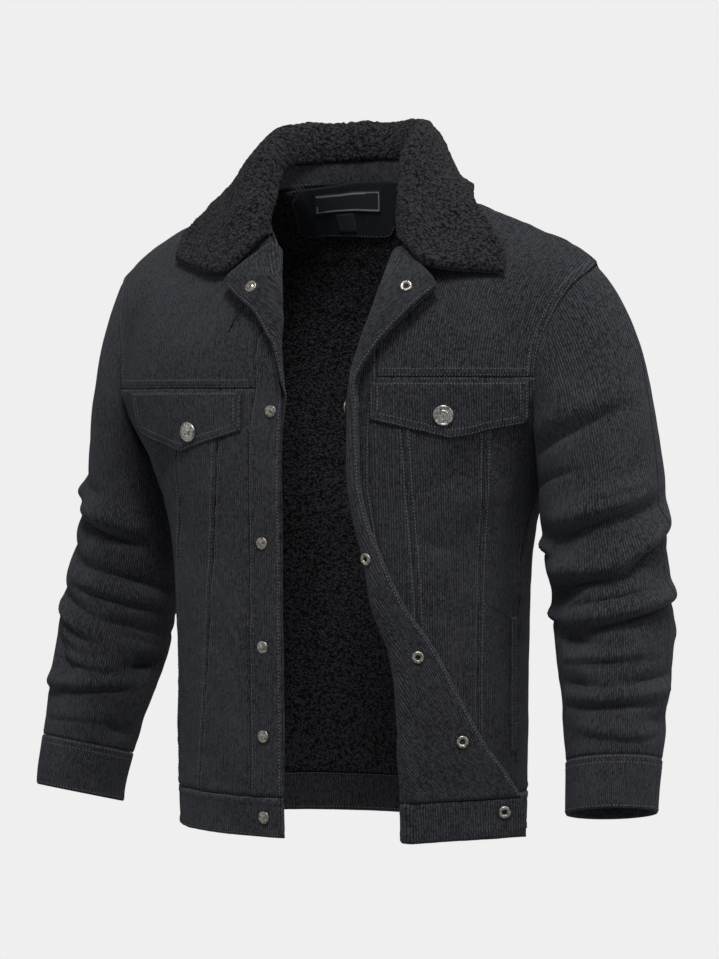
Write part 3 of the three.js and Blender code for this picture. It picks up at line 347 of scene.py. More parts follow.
def column(face, s):
    """The column of cloth over the chest or the shoulder blade up to the crest."""
    far = np.abs(s)
    low = ring_point(face, far, np.full_like(far, YOKE_T))
    cy, cz = read(CREST, far)
    cz = cz - np.where(s > 0, read(LEFT_DROP, far)[0], 0)
    top = np.stack([np.where(far > TIP_S, TIP_S + (far - TIP_S) * 0.2, far), cy, cz], axis=-1)
    if face < 0:
        ny, nz = read(NAPE, far)
        inside = (far < NECK_S)[..., None]
        top = np.where(inside, np.stack([far, ny, nz], axis=-1), top)
    return low, top, 1.05 * np.linalg.norm(top - low, axis=-1)


def crest_t(face, s):
    return YOKE_T + column(face, np.asarray(s, float))[2]


def torso(face, s, t):
    """The skin: s from the centre line, t up the cloth."""
    s, t = np.broadcast_arrays(np.asarray(s, float), np.asarray(t, float))
    low, top, length = column(face, s)
    w = np.clip((t - YOKE_T) / length, 0, 1.2)[..., None]
    flat = np.zeros_like(length)
    start = np.stack([flat, flat, 1.1 * length], axis=-1)
    # The back stands up steeply at the neck.
    nape = np.maximum(0, 1 - (s / NECK_S) ** 2) if face < 0 else flat
    end = np.stack([flat, face * mix(1.01, 0.42, nape) * length, mix(0.44, 0.98, nape) * length], axis=-1)
    high = hermite(low, start, top, end, w)
    high[..., 0] = np.where(s < 0, -high[..., 0], high[..., 0])
    point = np.where((t <= YOKE_T)[..., None], ring_point(face, s, t), high)
    lift = fold_lift(FRONT_FOLDS if face > 0 else BACK_FOLDS, s, t) * np.clip((point[..., 2] + 640) / 30, 0, 1)
    return point + unit(point * np.array([1 / 3, 1, 0])) * lift[..., None]


def edge_s(face, t):
    """Distance of the armhole or of the side seam from the centre line."""
    side = side_s(face, np.full(1, ARMPIT_T))[0]
    rows = [(h, s + (side - 305) * max(0, -205 - h) / 52) for h, s in ARMHOLE] + [(ARMPIT_T, side)]
    return np.where(t <= ARMPIT_T, side_s(face, t), read(rows, t)[0])


class Front:
    """A front with its turned edge. Side 1 is the wearer's left. d is the cloth from the free edge."""

    def __init__(self, side):
        self.side, self.rows, self.roll = side, FRONTS[side], ROLL[side]
        self.yoke = -194.0 if side > 0 else -204.0
        self.notch = -111.0 if side > 0 else -106.0
        self.gorge = -69.0 if side > 0 else -61.0
        self.wide = read(self.rows, self.gorge)[1]
        s = np.arange(NECK_S, 301, 3)
        t = crest_t(1, side * s)
        self.shoulder = (self.d_of(s, t), t)

    def s_of(self, d, t):
        fold, turned = read(self.rows, t)
        return d + fold - turned - math.pi * self.roll

    def d_of(self, s, t):
        fold, turned = read(self.rows, t)
        return s - fold + turned + math.pi * self.roll

    def body(self, s, t):
        return torso(1, self.side * s, t)

    def surface(self, d, t):
        d, t = np.broadcast_arrays(np.asarray(d, float), np.asarray(t, float))
        fold, turned = read(self.rows, t)
        q = turned - d
        roll, e = self.roll, 0.6
        plain = self.body(fold - q - math.pi * roll, t)
        at = self.body(fold, t)
        along = unit(self.body(fold + e, t) - self.body(fold - e, t))
        out = unit(np.cross(along, self.body(fold, t + e) - self.body(fold, t - e))) * self.side
        angle = np.clip(-q / roll, 0, math.pi)[..., None]
        round_part = at + out * roll * (1 + np.cos(angle)) - along * roll * np.sin(angle)
        straight = at + out * 2 * roll + along * q[..., None]
        straight[..., 2] += np.where(t < -300, q * 0.06, 0) if self.side > 0 else 0
        near = self.body(fold + q, t) + out * (2 * roll + q * 0.04)[..., None]
        follow = (np.clip((t + 300) / 100, 0, 1) * 0.75)[..., None]
        flap = mix(straight, near, follow)
        q = q[..., None]
        return np.where(q <= -math.pi * roll, plain, np.where(q <= 0, round_part, flap))

    def top(self, d):
        """Gorge seam on the lapel, then the neckline, then the shoulder seam."""
        end = self.wide + math.pi * self.roll
        lapel = mix(self.notch, self.gorge, np.clip(d / self.wide, 0, 1))
        rise = np.clip((d - end) / 10, 0, 1) ** 0.8
        up = mix(self.gorge, np.interp(d, *self.shoulder), rise)
        return np.where(d <= self.wide, lapel, up)


def between(us, vs, left, right, low, middle, high=None):
    """Places of a panel: us from 0 to 1 across, vs from 0 to 1 up to the middle line and on to 2 at the high edge."""
    u, v = np.meshgrid(us, vs)
    zero = np.zeros_like(u)
    t = mix(low(zero), middle(zero), np.minimum(v, 1)) + (0 if high is None else (v > 1) * 30.0)
    d = mix(left(t), right(t), u)
    for _ in range(34):
        wanted = mix(low(d) + SEAM, middle(d) - (0 if high else SEAM), np.minimum(v, 1))
        if high is not None:
            # A step in the high edge bends only the rows close to it.
            soft = sum(high(d + k) for k in range(-24, 25, 6)) / 9
            rise = np.clip(v - 1, 0, 1)
            wanted = np.where(v > 1, mix(middle(d), soft - SEAM, rise) + (high(d) - soft) * rise**4, wanted)
        t = mix(t, wanted, 0.5)
        d = mix(d, mix(left(t) + SEAM, right(t) - SEAM, u), 0.5)
    return d, t


# Meshes.
def lengths(p, axis):
    """Length along the grid lines from their first point."""
    step = np.linalg.norm(np.diff(p, axis=axis), axis=-1)
    out = np.zeros(p.shape[:2])
    if axis == 1:
        out[:, 1:] = np.cumsum(step, axis=1)
    else:
        out[1:, :] = np.cumsum(step, axis=0)
    return out


def grid_normals(p, turn, closed=False):
    if closed:
        du = np.roll(p, -1, axis=1) - np.roll(p, 1, axis=1)
    else:
        du = np.gradient(p, axis=1)
    return unit(np.cross(du, np.gradient(p, axis=0))) * turn


def smooth_grid(a, times=1):
    for _ in range(times):
        b = a.copy()
        b[1:-1] = (a[:-2] + 2 * a[1:-1] + a[2:]) / 4
        a = b
        b = a.copy()
        b[:, 1:-1] = (a[:, :-2] + 2 * a[:, 1:-1] + a[:, 2:]) / 4
        a = b
    return unit(a)


def new_object(name, verts, faces, material, uv=None, smooth=True):
    mesh = bpy.data.meshes.new(name)
    mesh.vertices.add(len(verts))
    mesh.vertices.foreach_set("co", (np.asarray(verts) * 0.001).astype(np.float32).ravel())
    faces = np.asarray(faces, np.int32)
    mesh.loops.add(faces.size)
    mesh.loops.foreach_set("vertex_index", faces.ravel())
    mesh.polygons.add(len(faces))
    mesh.polygons.foreach_set("loop_start", np.arange(0, faces.size, faces.shape[1], dtype=np.int32))
    mesh.update(calc_edges=True)
    mesh.validate()
    if smooth:
        mesh.polygons.foreach_set("use_smooth", np.ones(len(mesh.polygons), bool))
    if uv is not None:
        layer = mesh.uv_layers.new(name="cloth")
        index = np.zeros(len(mesh.loops), np.int32)
        mesh.loops.foreach_get("vertex_index", index)
        layer.data.foreach_set("uv", (uv[index] * 0.001).astype(np.float32).ravel())
    mesh.materials.append(material)
    obj = bpy.data.objects.new(name, mesh)
    bpy.context.scene.collection.objects.link(obj)
    return obj


def cloth(name, p, near, far, turn, material, uv, closed=False, edge=1.0, normals=None):
    """A closed sheet between two offsets of a grid, with soft edges. near and far are numbers or grids."""
    nv, nu = p.shape[:2]
    n = grid_normals(p, turn, closed) if normals is None else normals
    lo, hi = np.broadcast_to(near, (nv, nu)).copy(), np.broadcast_to(far, (nv, nu)).copy()
    if edge:
        rows, cols = lengths(p, 0), lengths(p, 1)
        off = np.minimum(rows, rows[-1:] - rows)
        if not closed:
            off = np.minimum(off, np.minimum(cols, cols[:, -1:] - cols))
        round_off = np.sqrt(np.clip(1 - (1 - np.clip(off / edge, 0, 1)) ** 2, 0, 1))
        middle = (lo + hi) / 2
        lo, hi = mix(middle, lo, 0.35 + 0.65 * round_off), mix(middle, hi, 0.35 + 0.65 * round_off)
    inner, outer = p + n * lo[..., None], p + n * hi[..., None]
    count = nu * nv
    index = np.arange(count).reshape(nv, nu)
    if closed:
        index = np.concatenate([index, index[:, :1]], axis=1)
    a, b, c, d = index[:-1, :-1], index[:-1, 1:], index[1:, 1:], index[1:, :-1]
    front = np.stack([a, b, c, d], -1).reshape(-1, 4) + count
    rear = np.stack([a, d, c, b], -1).reshape(-1, 4)
    low, up = index[0], index[-1]
    rim = [np.stack([low[:-1], low[1:], low[1:] + count, low[:-1] + count], -1),
           np.stack([up[1:], up[:-1], up[:-1] + count, up[1:] + count], -1)]
    if not closed:
        first, last = index[:, 0], index[:, -1]
        rim += [np.stack([first[1:], first[:-1], first[:-1] + count, first[1:] + count], -1),
                np.stack([last[:-1], last[1:], last[1:] + count, last[:-1] + count], -1)]
    faces = np.concatenate([front, rear] + rim)
    if turn < 0:
        faces = faces[:, ::-1]
    verts = np.concatenate([inner.reshape(-1, 3), outer.reshape(-1, 3)])
    uvs = np.concatenate([uv.reshape(-1, 2)] * 2)
    return new_object(name, verts, faces, material, uvs), outer, n


def edge_line(p, n, edge, offset, start=0.0, end=0.0):
    """A line on a grid at a distance from one of its edges: L, R, B or T. start and end cut its ends short."""
    if edge in "BT":
        p, n = np.swapaxes(p, 0, 1), np.swapaxes(n, 0, 1)
    if edge in "RT":
        p, n = p[:, ::-1], n[:, ::-1]
    along = lengths(p, 1)
    k = np.clip((along < offset).sum(axis=1) - 1, 0, p.shape[1] - 2)
    r = np.arange(len(p))
    w = ((offset - along[r, k]) / np.maximum(along[r, k + 1] - along[r, k], 1e-6))[:, None]
    line, up = mix(p[r, k], p[r, k + 1], w), unit(mix(n[r, k], n[r, k + 1], w))
    run = np.concatenate([[0], np.cumsum(np.linalg.norm(np.diff(line, axis=0), axis=1))])
    keep = (run >= start) & (run <= run[-1] - end)
    return line[keep], up[keep]


STITCHES = []


def stitch(line, up, pitch=3.4, long=2.7, width=0.95, rise=0.4):
    """Adds a row of stitches along a line on the cloth."""
    run = np.concatenate([[0], np.cumsum(np.linalg.norm(np.diff(line, axis=0), axis=1))])
    if run[-1] < pitch * 2:
        return
    at = np.arange(pitch / 2, run[-1] - long, pitch)

    def place(x, values):
        return np.stack([np.interp(x, run, values[:, c]) for c in range(3)], axis=-1)

    a, b = place(at, line), place(at + long, line)
    n = unit(place(at + long / 2, up))
    across = unit(np.cross(b - a, n))
    mid = (a + b) / 2
    bits = [a - n * 0.1, mid + across * width / 2, mid + n * rise, mid - across * width / 2, mid - n * 0.2, b - n * 0.1]
    STITCHES.append(np.stack(bits, axis=1))


def lathe(name, place, axis, profile, material, segments=40, beads=0):
    """Revolved trim with a profile of (radius, height) pairs. beads modulates the radius-wise ring as small dots."""
    z = unit(np.asarray(axis, float))
    x = unit(np.cross([0.0, 0, 1] if abs(z[2]) < 0.9 else [1.0, 0, 0], z))
    y = np.cross(z, x)
    angle = np.arange(segments) * 2 * math.pi / segments
    verts = []
    for r, h, dots in profile:
        lift = h + dots * 0.5 * (1 + np.cos(beads * angle))
        verts.append(place + np.outer(np.cos(angle) * r, x) + np.outer(np.sin(angle) * r, y) + np.outer(lift, z))
    verts = np.concatenate(verts)
    faces = []
    for j in range(len(profile) - 1):
        for k in range(segments):
            a, b = j * segments + k, j * segments + (k + 1) % segments
            faces.append((a, b, b + segments, a + segments))
    obj = new_object(name, verts, faces, material)
    mesh = obj.data
    mesh.update()
    return obj


# Materials. Groups give masks, heights, colours and normals; every shader is in its own material.
def node(tree, kind, **values):
    n = tree.nodes.new(kind)
    for key, value in values.items():
        if key.startswith("in_"):
            n.inputs[int(key[3:]) if key[3:].isdigit() else key[3:].replace("_", " ")].default_value = value
        else:
            setattr(n, key, value)
    return n


def new_group(name, inputs, outputs):
    tree = bpy.data.node_groups.new(name, "ShaderNodeTree")
    for label, kind, value in inputs:
        socket = tree.interface.new_socket(name=label, in_out="INPUT", socket_type=kind)
        if value is not None:
            socket.default_value = value
    for label, kind in outputs:
        tree.interface.new_socket(name=label, in_out="OUTPUT", socket_type=kind)
    return tree, tree.nodes.new("NodeGroupInput"), tree.nodes.new("NodeGroupOutput")


def math_node(tree, op, a, b=None, clamp=False):
    n = tree.nodes.new("ShaderNodeMath")
    n.operation = op
    n.use_clamp = clamp
    for k, value in enumerate((a, b)):
        if value is None:
            continue
        if isinstance(value, (int, float)):
            n.inputs[k].default_value = value
        else:
            tree.links.new(value, n.inputs[k])
    return n.outputs[0]


def noise_node(tree, vector, scale, detail=3.0, rough=0.55):
    n = node(tree, "ShaderNodeTexNoise")
    n.inputs["Scale"].default_value = scale
    n.inputs["Detail"].default_value = detail
    n.inputs["Roughness"].default_value = rough
    tree.links.new(vector, n.inputs["Vector"])
    return n.outputs["Fac"]


def scaled(tree, vector, scale):
    n = node(tree, "ShaderNodeMapping")
    n.inputs["Scale"].default_value = scale
    tree.links.new(vector, n.inputs["Vector"])
    return n.outputs["Vector"]


def wale_group():
    """Ribs of corduroy along v of the cloth map, with brushed pile, worn patches and painted shade in the grooves
    between the wales.
    """
    tree, gin, gout = new_group(
        "wale_relief",
        [("Pitch", "NodeSocketFloat", 0.0024), ("Depth", "NodeSocketFloat", 1.0)],
        [("Height", "NodeSocketFloat"), ("Rib", "NodeSocketFloat"), ("Wear", "NodeSocketFloat"),
         ("Normal", "NodeSocketVector")],
    )
    cloth_map = node(tree, "ShaderNodeUVMap", uv_map="cloth").outputs["UV"]
    solid = node(tree, "ShaderNodeTexCoord").outputs["Object"]
    split = node(tree, "ShaderNodeSeparateXYZ")
    tree.links.new(cloth_map, split.inputs[0])
    wander = noise_node(tree, scaled(tree, cloth_map, (60, 22, 1)), 1.0, 2.0)
    shift = math_node(tree, "MULTIPLY", math_node(tree, "SUBTRACT", wander, 0.5), 0.0011)
    u = math_node(tree, "ADD", split.outputs[0], shift)
    phase = math_node(tree, "MULTIPLY", math_node(tree, "DIVIDE", u, gin.outputs["Pitch"]), math.pi)
    wave = math_node(tree, "ABSOLUTE", math_node(tree, "SINE", phase))
    rib = math_node(tree, "POWER", wave, 0.7)
    tuft = noise_node(tree, scaled(tree, cloth_map, (900, 420, 1)), 1.0, 3.0, 0.65)
    broken = noise_node(tree, scaled(tree, cloth_map, (260, 90, 1)), 1.0, 3.0, 0.6)
    height = math_node(tree, "ADD", math_node(tree, "MULTIPLY", rib, 0.7), math_node(tree, "MULTIPLY", tuft, 0.55))
    height = math_node(tree, "ADD", height, math_node(tree, "MULTIPLY", broken, 0.5))
    wear = noise_node(tree, solid, 16.0, 4.0, 0.6)
    speck = noise_node(tree, scaled(tree, cloth_map, (560, 300, 1)), 1.0, 2.0, 0.6)
    mixed = math_node(tree, "ADD", math_node(tree, "MULTIPLY", speck, 0.65), math_node(tree, "MULTIPLY", broken, 0.35))
    mixed = math_node(tree, "MULTIPLY", math_node(tree, "SUBTRACT", mixed, 0.4), 4.6, clamp=True)
    # Painted shade: this colour mask is dark in the grooves between the wales and light on the rib tops, mottled at
    # random by the pile specks.
    rib_shade_mask = math_node(tree, "MULTIPLY", rib, math_node(tree, "ADD", math_node(tree, "MULTIPLY", mixed, 0.85), 0.15))
    bump = node(tree, "ShaderNodeBump")
    bump.inputs["Distance"].default_value = 0.0014
    tree.links.new(gin.outputs["Depth"], bump.inputs["Strength"])
    tree.links.new(height, bump.inputs["Height"])
    for value, label in ((height, "Height"), (rib_shade_mask, "Rib"), (wear, "Wear"), (bump.outputs[0], "Normal")):
        tree.links.new(value, gout.inputs[label])
    return tree


def pile_group():
    """Curly pile: tufts with painted shade in the gaps between them, finer curls on them."""
    tree, gin, gout = new_group(
        "curly_pile",
        [("Scale", "NodeSocketFloat", 290.0)],
        [("Tuft_gap_shade", "NodeSocketFloat"), ("Patch", "NodeSocketFloat"), ("Normal", "NodeSocketVector")],
    )
    solid = node(tree, "ShaderNodeTexCoord").outputs["Object"]
    bend = node(tree, "ShaderNodeTexNoise")
    bend.inputs["Scale"].default_value = 260.0
    bend.inputs["Detail"].default_value = 2.0
    tree.links.new(solid, bend.inputs["Vector"])
    offset = node(tree, "ShaderNodeVectorMath", operation="SCALE")
    offset.inputs["Scale"].default_value = 0.006
    tree.links.new(bend.outputs["Color"], offset.inputs[0])
    moved = node(tree, "ShaderNodeVectorMath", operation="ADD")
    tree.links.new(solid, moved.inputs[0])
    tree.links.new(offset.outputs[0], moved.inputs[1])
    cells = node(tree, "ShaderNodeTexVoronoi", feature="SMOOTH_F1")
    cells.inputs["Smoothness"].default_value = 0.35
    tree.links.new(gin.outputs["Scale"], cells.inputs["Scale"])
    tree.links.new(moved.outputs[0], cells.inputs["Vector"])
    tuft = math_node(tree, "SUBTRACT", 1.0, math_node(tree, "MULTIPLY", cells.outputs["Distance"], 1.25), clamp=True)
    fine = noise_node(tree, moved.outputs[0], 620.0, 3.0, 0.7)
    height = math_node(tree, "ADD", tuft, math_node(tree, "MULTIPLY", fine, 0.55))
    patch = noise_node(tree, solid, 38.0, 3.0)
    bump = node(tree, "ShaderNodeBump")
    bump.inputs["Strength"].default_value = 1.0
    bump.inputs["Distance"].default_value = 0.003
    tree.links.new(height, bump.inputs["Height"])
    # Painted shade: this colour mask is dark in the gaps between the tufts and light on their tops, broken up by the
    # fine noise.
    tuft_shade_mask = math_node(tree, "MULTIPLY", tuft, math_node(tree, "ADD", fine, 0.35), clamp=True)
    for value, label in ((tuft_shade_mask, "Tuft_gap_shade"), (patch, "Patch"), (bump.outputs[0], "Normal")):
        tree.links.new(value, gout.inputs[label])
    return tree


def patina_group():
    """Old metal: darker and brighter spots from noise, the brighter ones as rubbed places."""
    tree, gin, gout = new_group(
        "metal_patina", [("Scale", "NodeSocketFloat", 420.0)],
        [("Rubbed", "NodeSocketFloat"), ("Normal", "NodeSocketVector")],
    )
    solid = node(tree, "ShaderNodeTexCoord").outputs["Object"]
    spots = node(tree, "ShaderNodeTexNoise")
    spots.inputs["Detail"].default_value = 4.0
    tree.links.new(gin.outputs["Scale"], spots.inputs["Scale"])
    tree.links.new(solid, spots.inputs["Vector"])
    bump = node(tree, "ShaderNodeBump")
    bump.inputs["Strength"].default_value = 0.35
    bump.inputs["Distance"].default_value = 0.0004
    tree.links.new(spots.outputs["Fac"], bump.inputs["Height"])
    tree.links.new(spots.outputs["Fac"], gout.inputs["Rubbed"])
    tree.links.new(bump.outputs[0], gout.inputs["Normal"])
    return tree


WALES, CURLS, PATINA = wale_group(), pile_group(), patina_group()


def shader(name, rough, sheen=0.0, sheen_rough=0.5, tint=(1, 1, 1, 1), metal=0.0):
    mat = bpy.data.materials.new(name)
    mat.use_nodes = True
    tree = mat.node_tree
    bsdf = tree.nodes["Principled BSDF"]
    bsdf.inputs["Roughness"].default_value = rough
    bsdf.inputs["Metallic"].default_value = metal
    bsdf.inputs["Sheen Weight"].default_value = sheen
    bsdf.inputs["Sheen Roughness"].default_value = sheen_rough
    bsdf.inputs["Sheen Tint"].default_value = tint
    bsdf.inputs["Specular IOR Level"].default_value = 0.5 if metal else 0.25
    return mat, tree, bsdf


def colour_mix(tree, fac, a, b):
    n = node(tree, "ShaderNodeMix", data_type="RGBA")
    tree.links.new(fac, n.inputs["Factor"])
    for k, value in ((6, a), (7, b)):
        if isinstance(value, tuple):
            n.inputs[k].default_value = (*value, 1)
        else:
            tree.links.new(value, n.inputs[k])
    return n.outputs[2]


def curve(tree, value, low, high):
    n = node(tree, "ShaderNodeMapRange", clamp=True)
    n.inputs["From Min"].default_value = low
    n.inputs["From Max"].default_value = high
    tree.links.new(value, n.inputs["Value"])
    return n.outputs[0]


def corduroy(name, dark, light, pitch=0.0024, depth=1.0, sheen=0.1):
    mat, tree, bsdf = shader(name, 0.95, sheen, 0.45, (0.75, 0.78, 0.9, 1))
    wales = node(tree, "ShaderNodeGroup", node_tree=WALES)
    wales.inputs["Pitch"].default_value = pitch
    wales.inputs["Depth"].default_value = depth
    # Painted shade: darker colour in the wale grooves, lighter colour on the rib tops.
    base = colour_mix(tree, curve(tree, wales.outputs["Rib"], 0.05, 0.8), dark, light)
    worn = tuple(min(1.0, c * 1.2) for c in light)
    rubbed = curve(tree, wales.outputs["Wear"], 0.45, 1.5)
    tree.links.new(colour_mix(tree, rubbed, base, worn), bsdf.inputs["Base Color"])
    tree.links.new(wales.outputs["Normal"], bsdf.inputs["Normal"])
    return mat


def pile(name, dark, light, scale=290.0):
    mat, tree, bsdf = shader(name, 1.0, 0.08, 0.4, (0.8, 0.76, 0.85, 1))
    tufts = node(tree, "ShaderNodeGroup", node_tree=CURLS)
    tufts.inputs["Scale"].default_value = scale
    # Painted shade: darker colour in the gaps between the tufts, lighter colour on their tops.
    base = colour_mix(tree, curve(tree, tufts.outputs["Tuft_gap_shade"], 0.14, 0.6), dark, light)
    soft = tuple(c * 0.8 for c in light)
    matted = curve(tree, tufts.outputs["Patch"], 0.55, 1.6)
    tree.links.new(colour_mix(tree, matted, base, soft), bsdf.inputs["Base Color"])
    tree.links.new(tufts.outputs["Normal"], bsdf.inputs["Normal"])
    return mat


def metal(name, dark, light, rough):
    mat, tree, bsdf = shader(name, rough, metal=1.0)
    patina = node(tree, "ShaderNodeGroup", node_tree=PATINA)
    rubbed = curve(tree, patina.outputs["Rubbed"], 0.35, 0.6)
    tree.links.new(colour_mix(tree, rubbed, dark, light), bsdf.inputs["Base Color"])
    tree.links.new(patina.outputs["Normal"], bsdf.inputs["Normal"])
    return mat


CORD = corduroy("corduroy", (0.0036, 0.0038, 0.005), (0.061, 0.063, 0.072))
FACE = corduroy("facing_corduroy", (0.0036, 0.0038, 0.005), (0.06, 0.062, 0.071))
TAPE = corduroy("neck_tape", (0.012, 0.0135, 0.0165), (0.024, 0.027, 0.032), pitch=0.0012, depth=0.35, sheen=0.15)
SHERPA = pile("sherpa", (0.0025, 0.0023, 0.003), (0.06, 0.056, 0.068), 380.0)
COLLAR_PLUSH = pile("collar_sherpa", (0.0012, 0.0011, 0.0015), (0.05, 0.047, 0.055), 330.0)
SNAP = metal("snap_metal", (0.16, 0.145, 0.12), (0.62, 0.58, 0.5), 0.34)
BUTTON = metal("button_metal", (0.2, 0.19, 0.17), (0.74, 0.71, 0.64), 0.3)
THREAD = shader("thread", 0.8, 0.2)[0]
THREAD.node_tree.nodes["Principled BSDF"].inputs["Base Color"].default_value = (0.17, 0.175, 0.19, 1)
LABEL, label_tree, label_bsdf = shader("label", 0.75, 0.2)


def label_look():
    """Plain woven tape with a thin pale border."""
    tree = label_tree
    cloth_map = node(tree, "ShaderNodeUVMap", uv_map="cloth").outputs["UV"]
    weave = noise_node(tree, scaled(tree, cloth_map, (1400, 700, 1)), 1.0, 2.0)
    edge = node(tree, "ShaderNodeAttribute", attribute_name="border").outputs["Fac"]
    base = colour_mix(tree, weave, (0.014, 0.017, 0.021), (0.03, 0.035, 0.042))
    tree.links.new(colour_mix(tree, edge, base, (0.42, 0.43, 0.44)), label_bsdf.inputs["Base Color"])


label_look()

# The pieces. Each keeps its CAD node's name with _look and how it is held.
def settle(obj, names, slot, p=None, closed=False):
    """Hangs a piece under the root and hides its CAD node; it works out the width and height of its cut but does not
    use them.
    """
    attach(obj, "root")
    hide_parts(*names)
    if p is None:
        return
    q = np.concatenate([p, p[:, :1]], axis=1) if closed else p
    wide = float(lengths(q, 1)[:, -1].max()) / 1000
    tall = float(lengths(p, 0)[-1].max()) / 1000


def spaced(size, step, least=2):
    return np.linspace(0, 1, max(least, int(round(size / step))) + 1)


def slack(s, t, seed=0):
    """Small unevenness of worn cloth."""
    return (
        0.9 * noise(s + 0.3 * t, t * 0.5, 38, seed) + 0.5 * noise(s - 0.2 * t, t * 0.6, 17, seed + 5)
        + 0.2 * noise(s, t, 7, seed + 9)
    )


def pucker(p, edges, depth=0.6, reach=10.0):
    """Small gathers beside the sewn edges."""
    rows, cols = lengths(p, 0), lengths(p, 1)
    away = {"L": cols, "R": cols[:, -1:] - cols, "B": rows, "T": rows[-1:] - rows}
    run = {"L": rows, "R": rows, "B": cols, "T": cols}
    total = np.zeros(p.shape[:2])
    for k, e in enumerate(edges):
        wave = noise(run[e], away[e] * 0.25, 5.5, 31 + k) + 0.5 * noise(run[e], away[e] * 0.2, 11, 41 + k)
        total += depth * wave * np.exp(-((away[e] - 3) / reach) ** 2)
        total += 0.55 * np.exp(-(((away[e] - 4.6) / 2.4) ** 2)) - 0.35 * np.exp(-(((away[e] - 8.6) / 1.3) ** 2))
    return total


def shell_piece(name, surface, d, t, u, turn, offsets, material, slot, seams="", rows=(), seed=0, wrinkle=None):
    """A piece of shell cloth: base, wrinkles, puckers, mesh and its stitching."""
    p = surface(d, t)
    base = p
    n = smooth_grid(grid_normals(p, turn))
    extra = slack(u, t, seed)
    if wrinkle is not None:
        extra = extra + wrinkle(u, t)
    if seams:
        extra = extra + pucker(p, seams)
    p = p + n * extra[..., None]
    obj, outer, n = cloth(name + "_look", p, offsets[0], offsets[1], turn, material, np.stack([u, t], -1))
    for edge, offset, start, end in rows:
        stitch(*edge_line(outer, n, edge, offset, start, end))
    settle(obj, [name], slot, base)
    return obj, outer, n


def front_wrinkle(side):
    def at(s, t):
        lift = fold_lift(FRONT_CREASES, side * s, t)
        lift += 1.0 * noise(s * 1.3, t * 0.35 + s * 0.4, 48, 3 + side) * ramp(-t, 210, 330)
        return lift

    return at


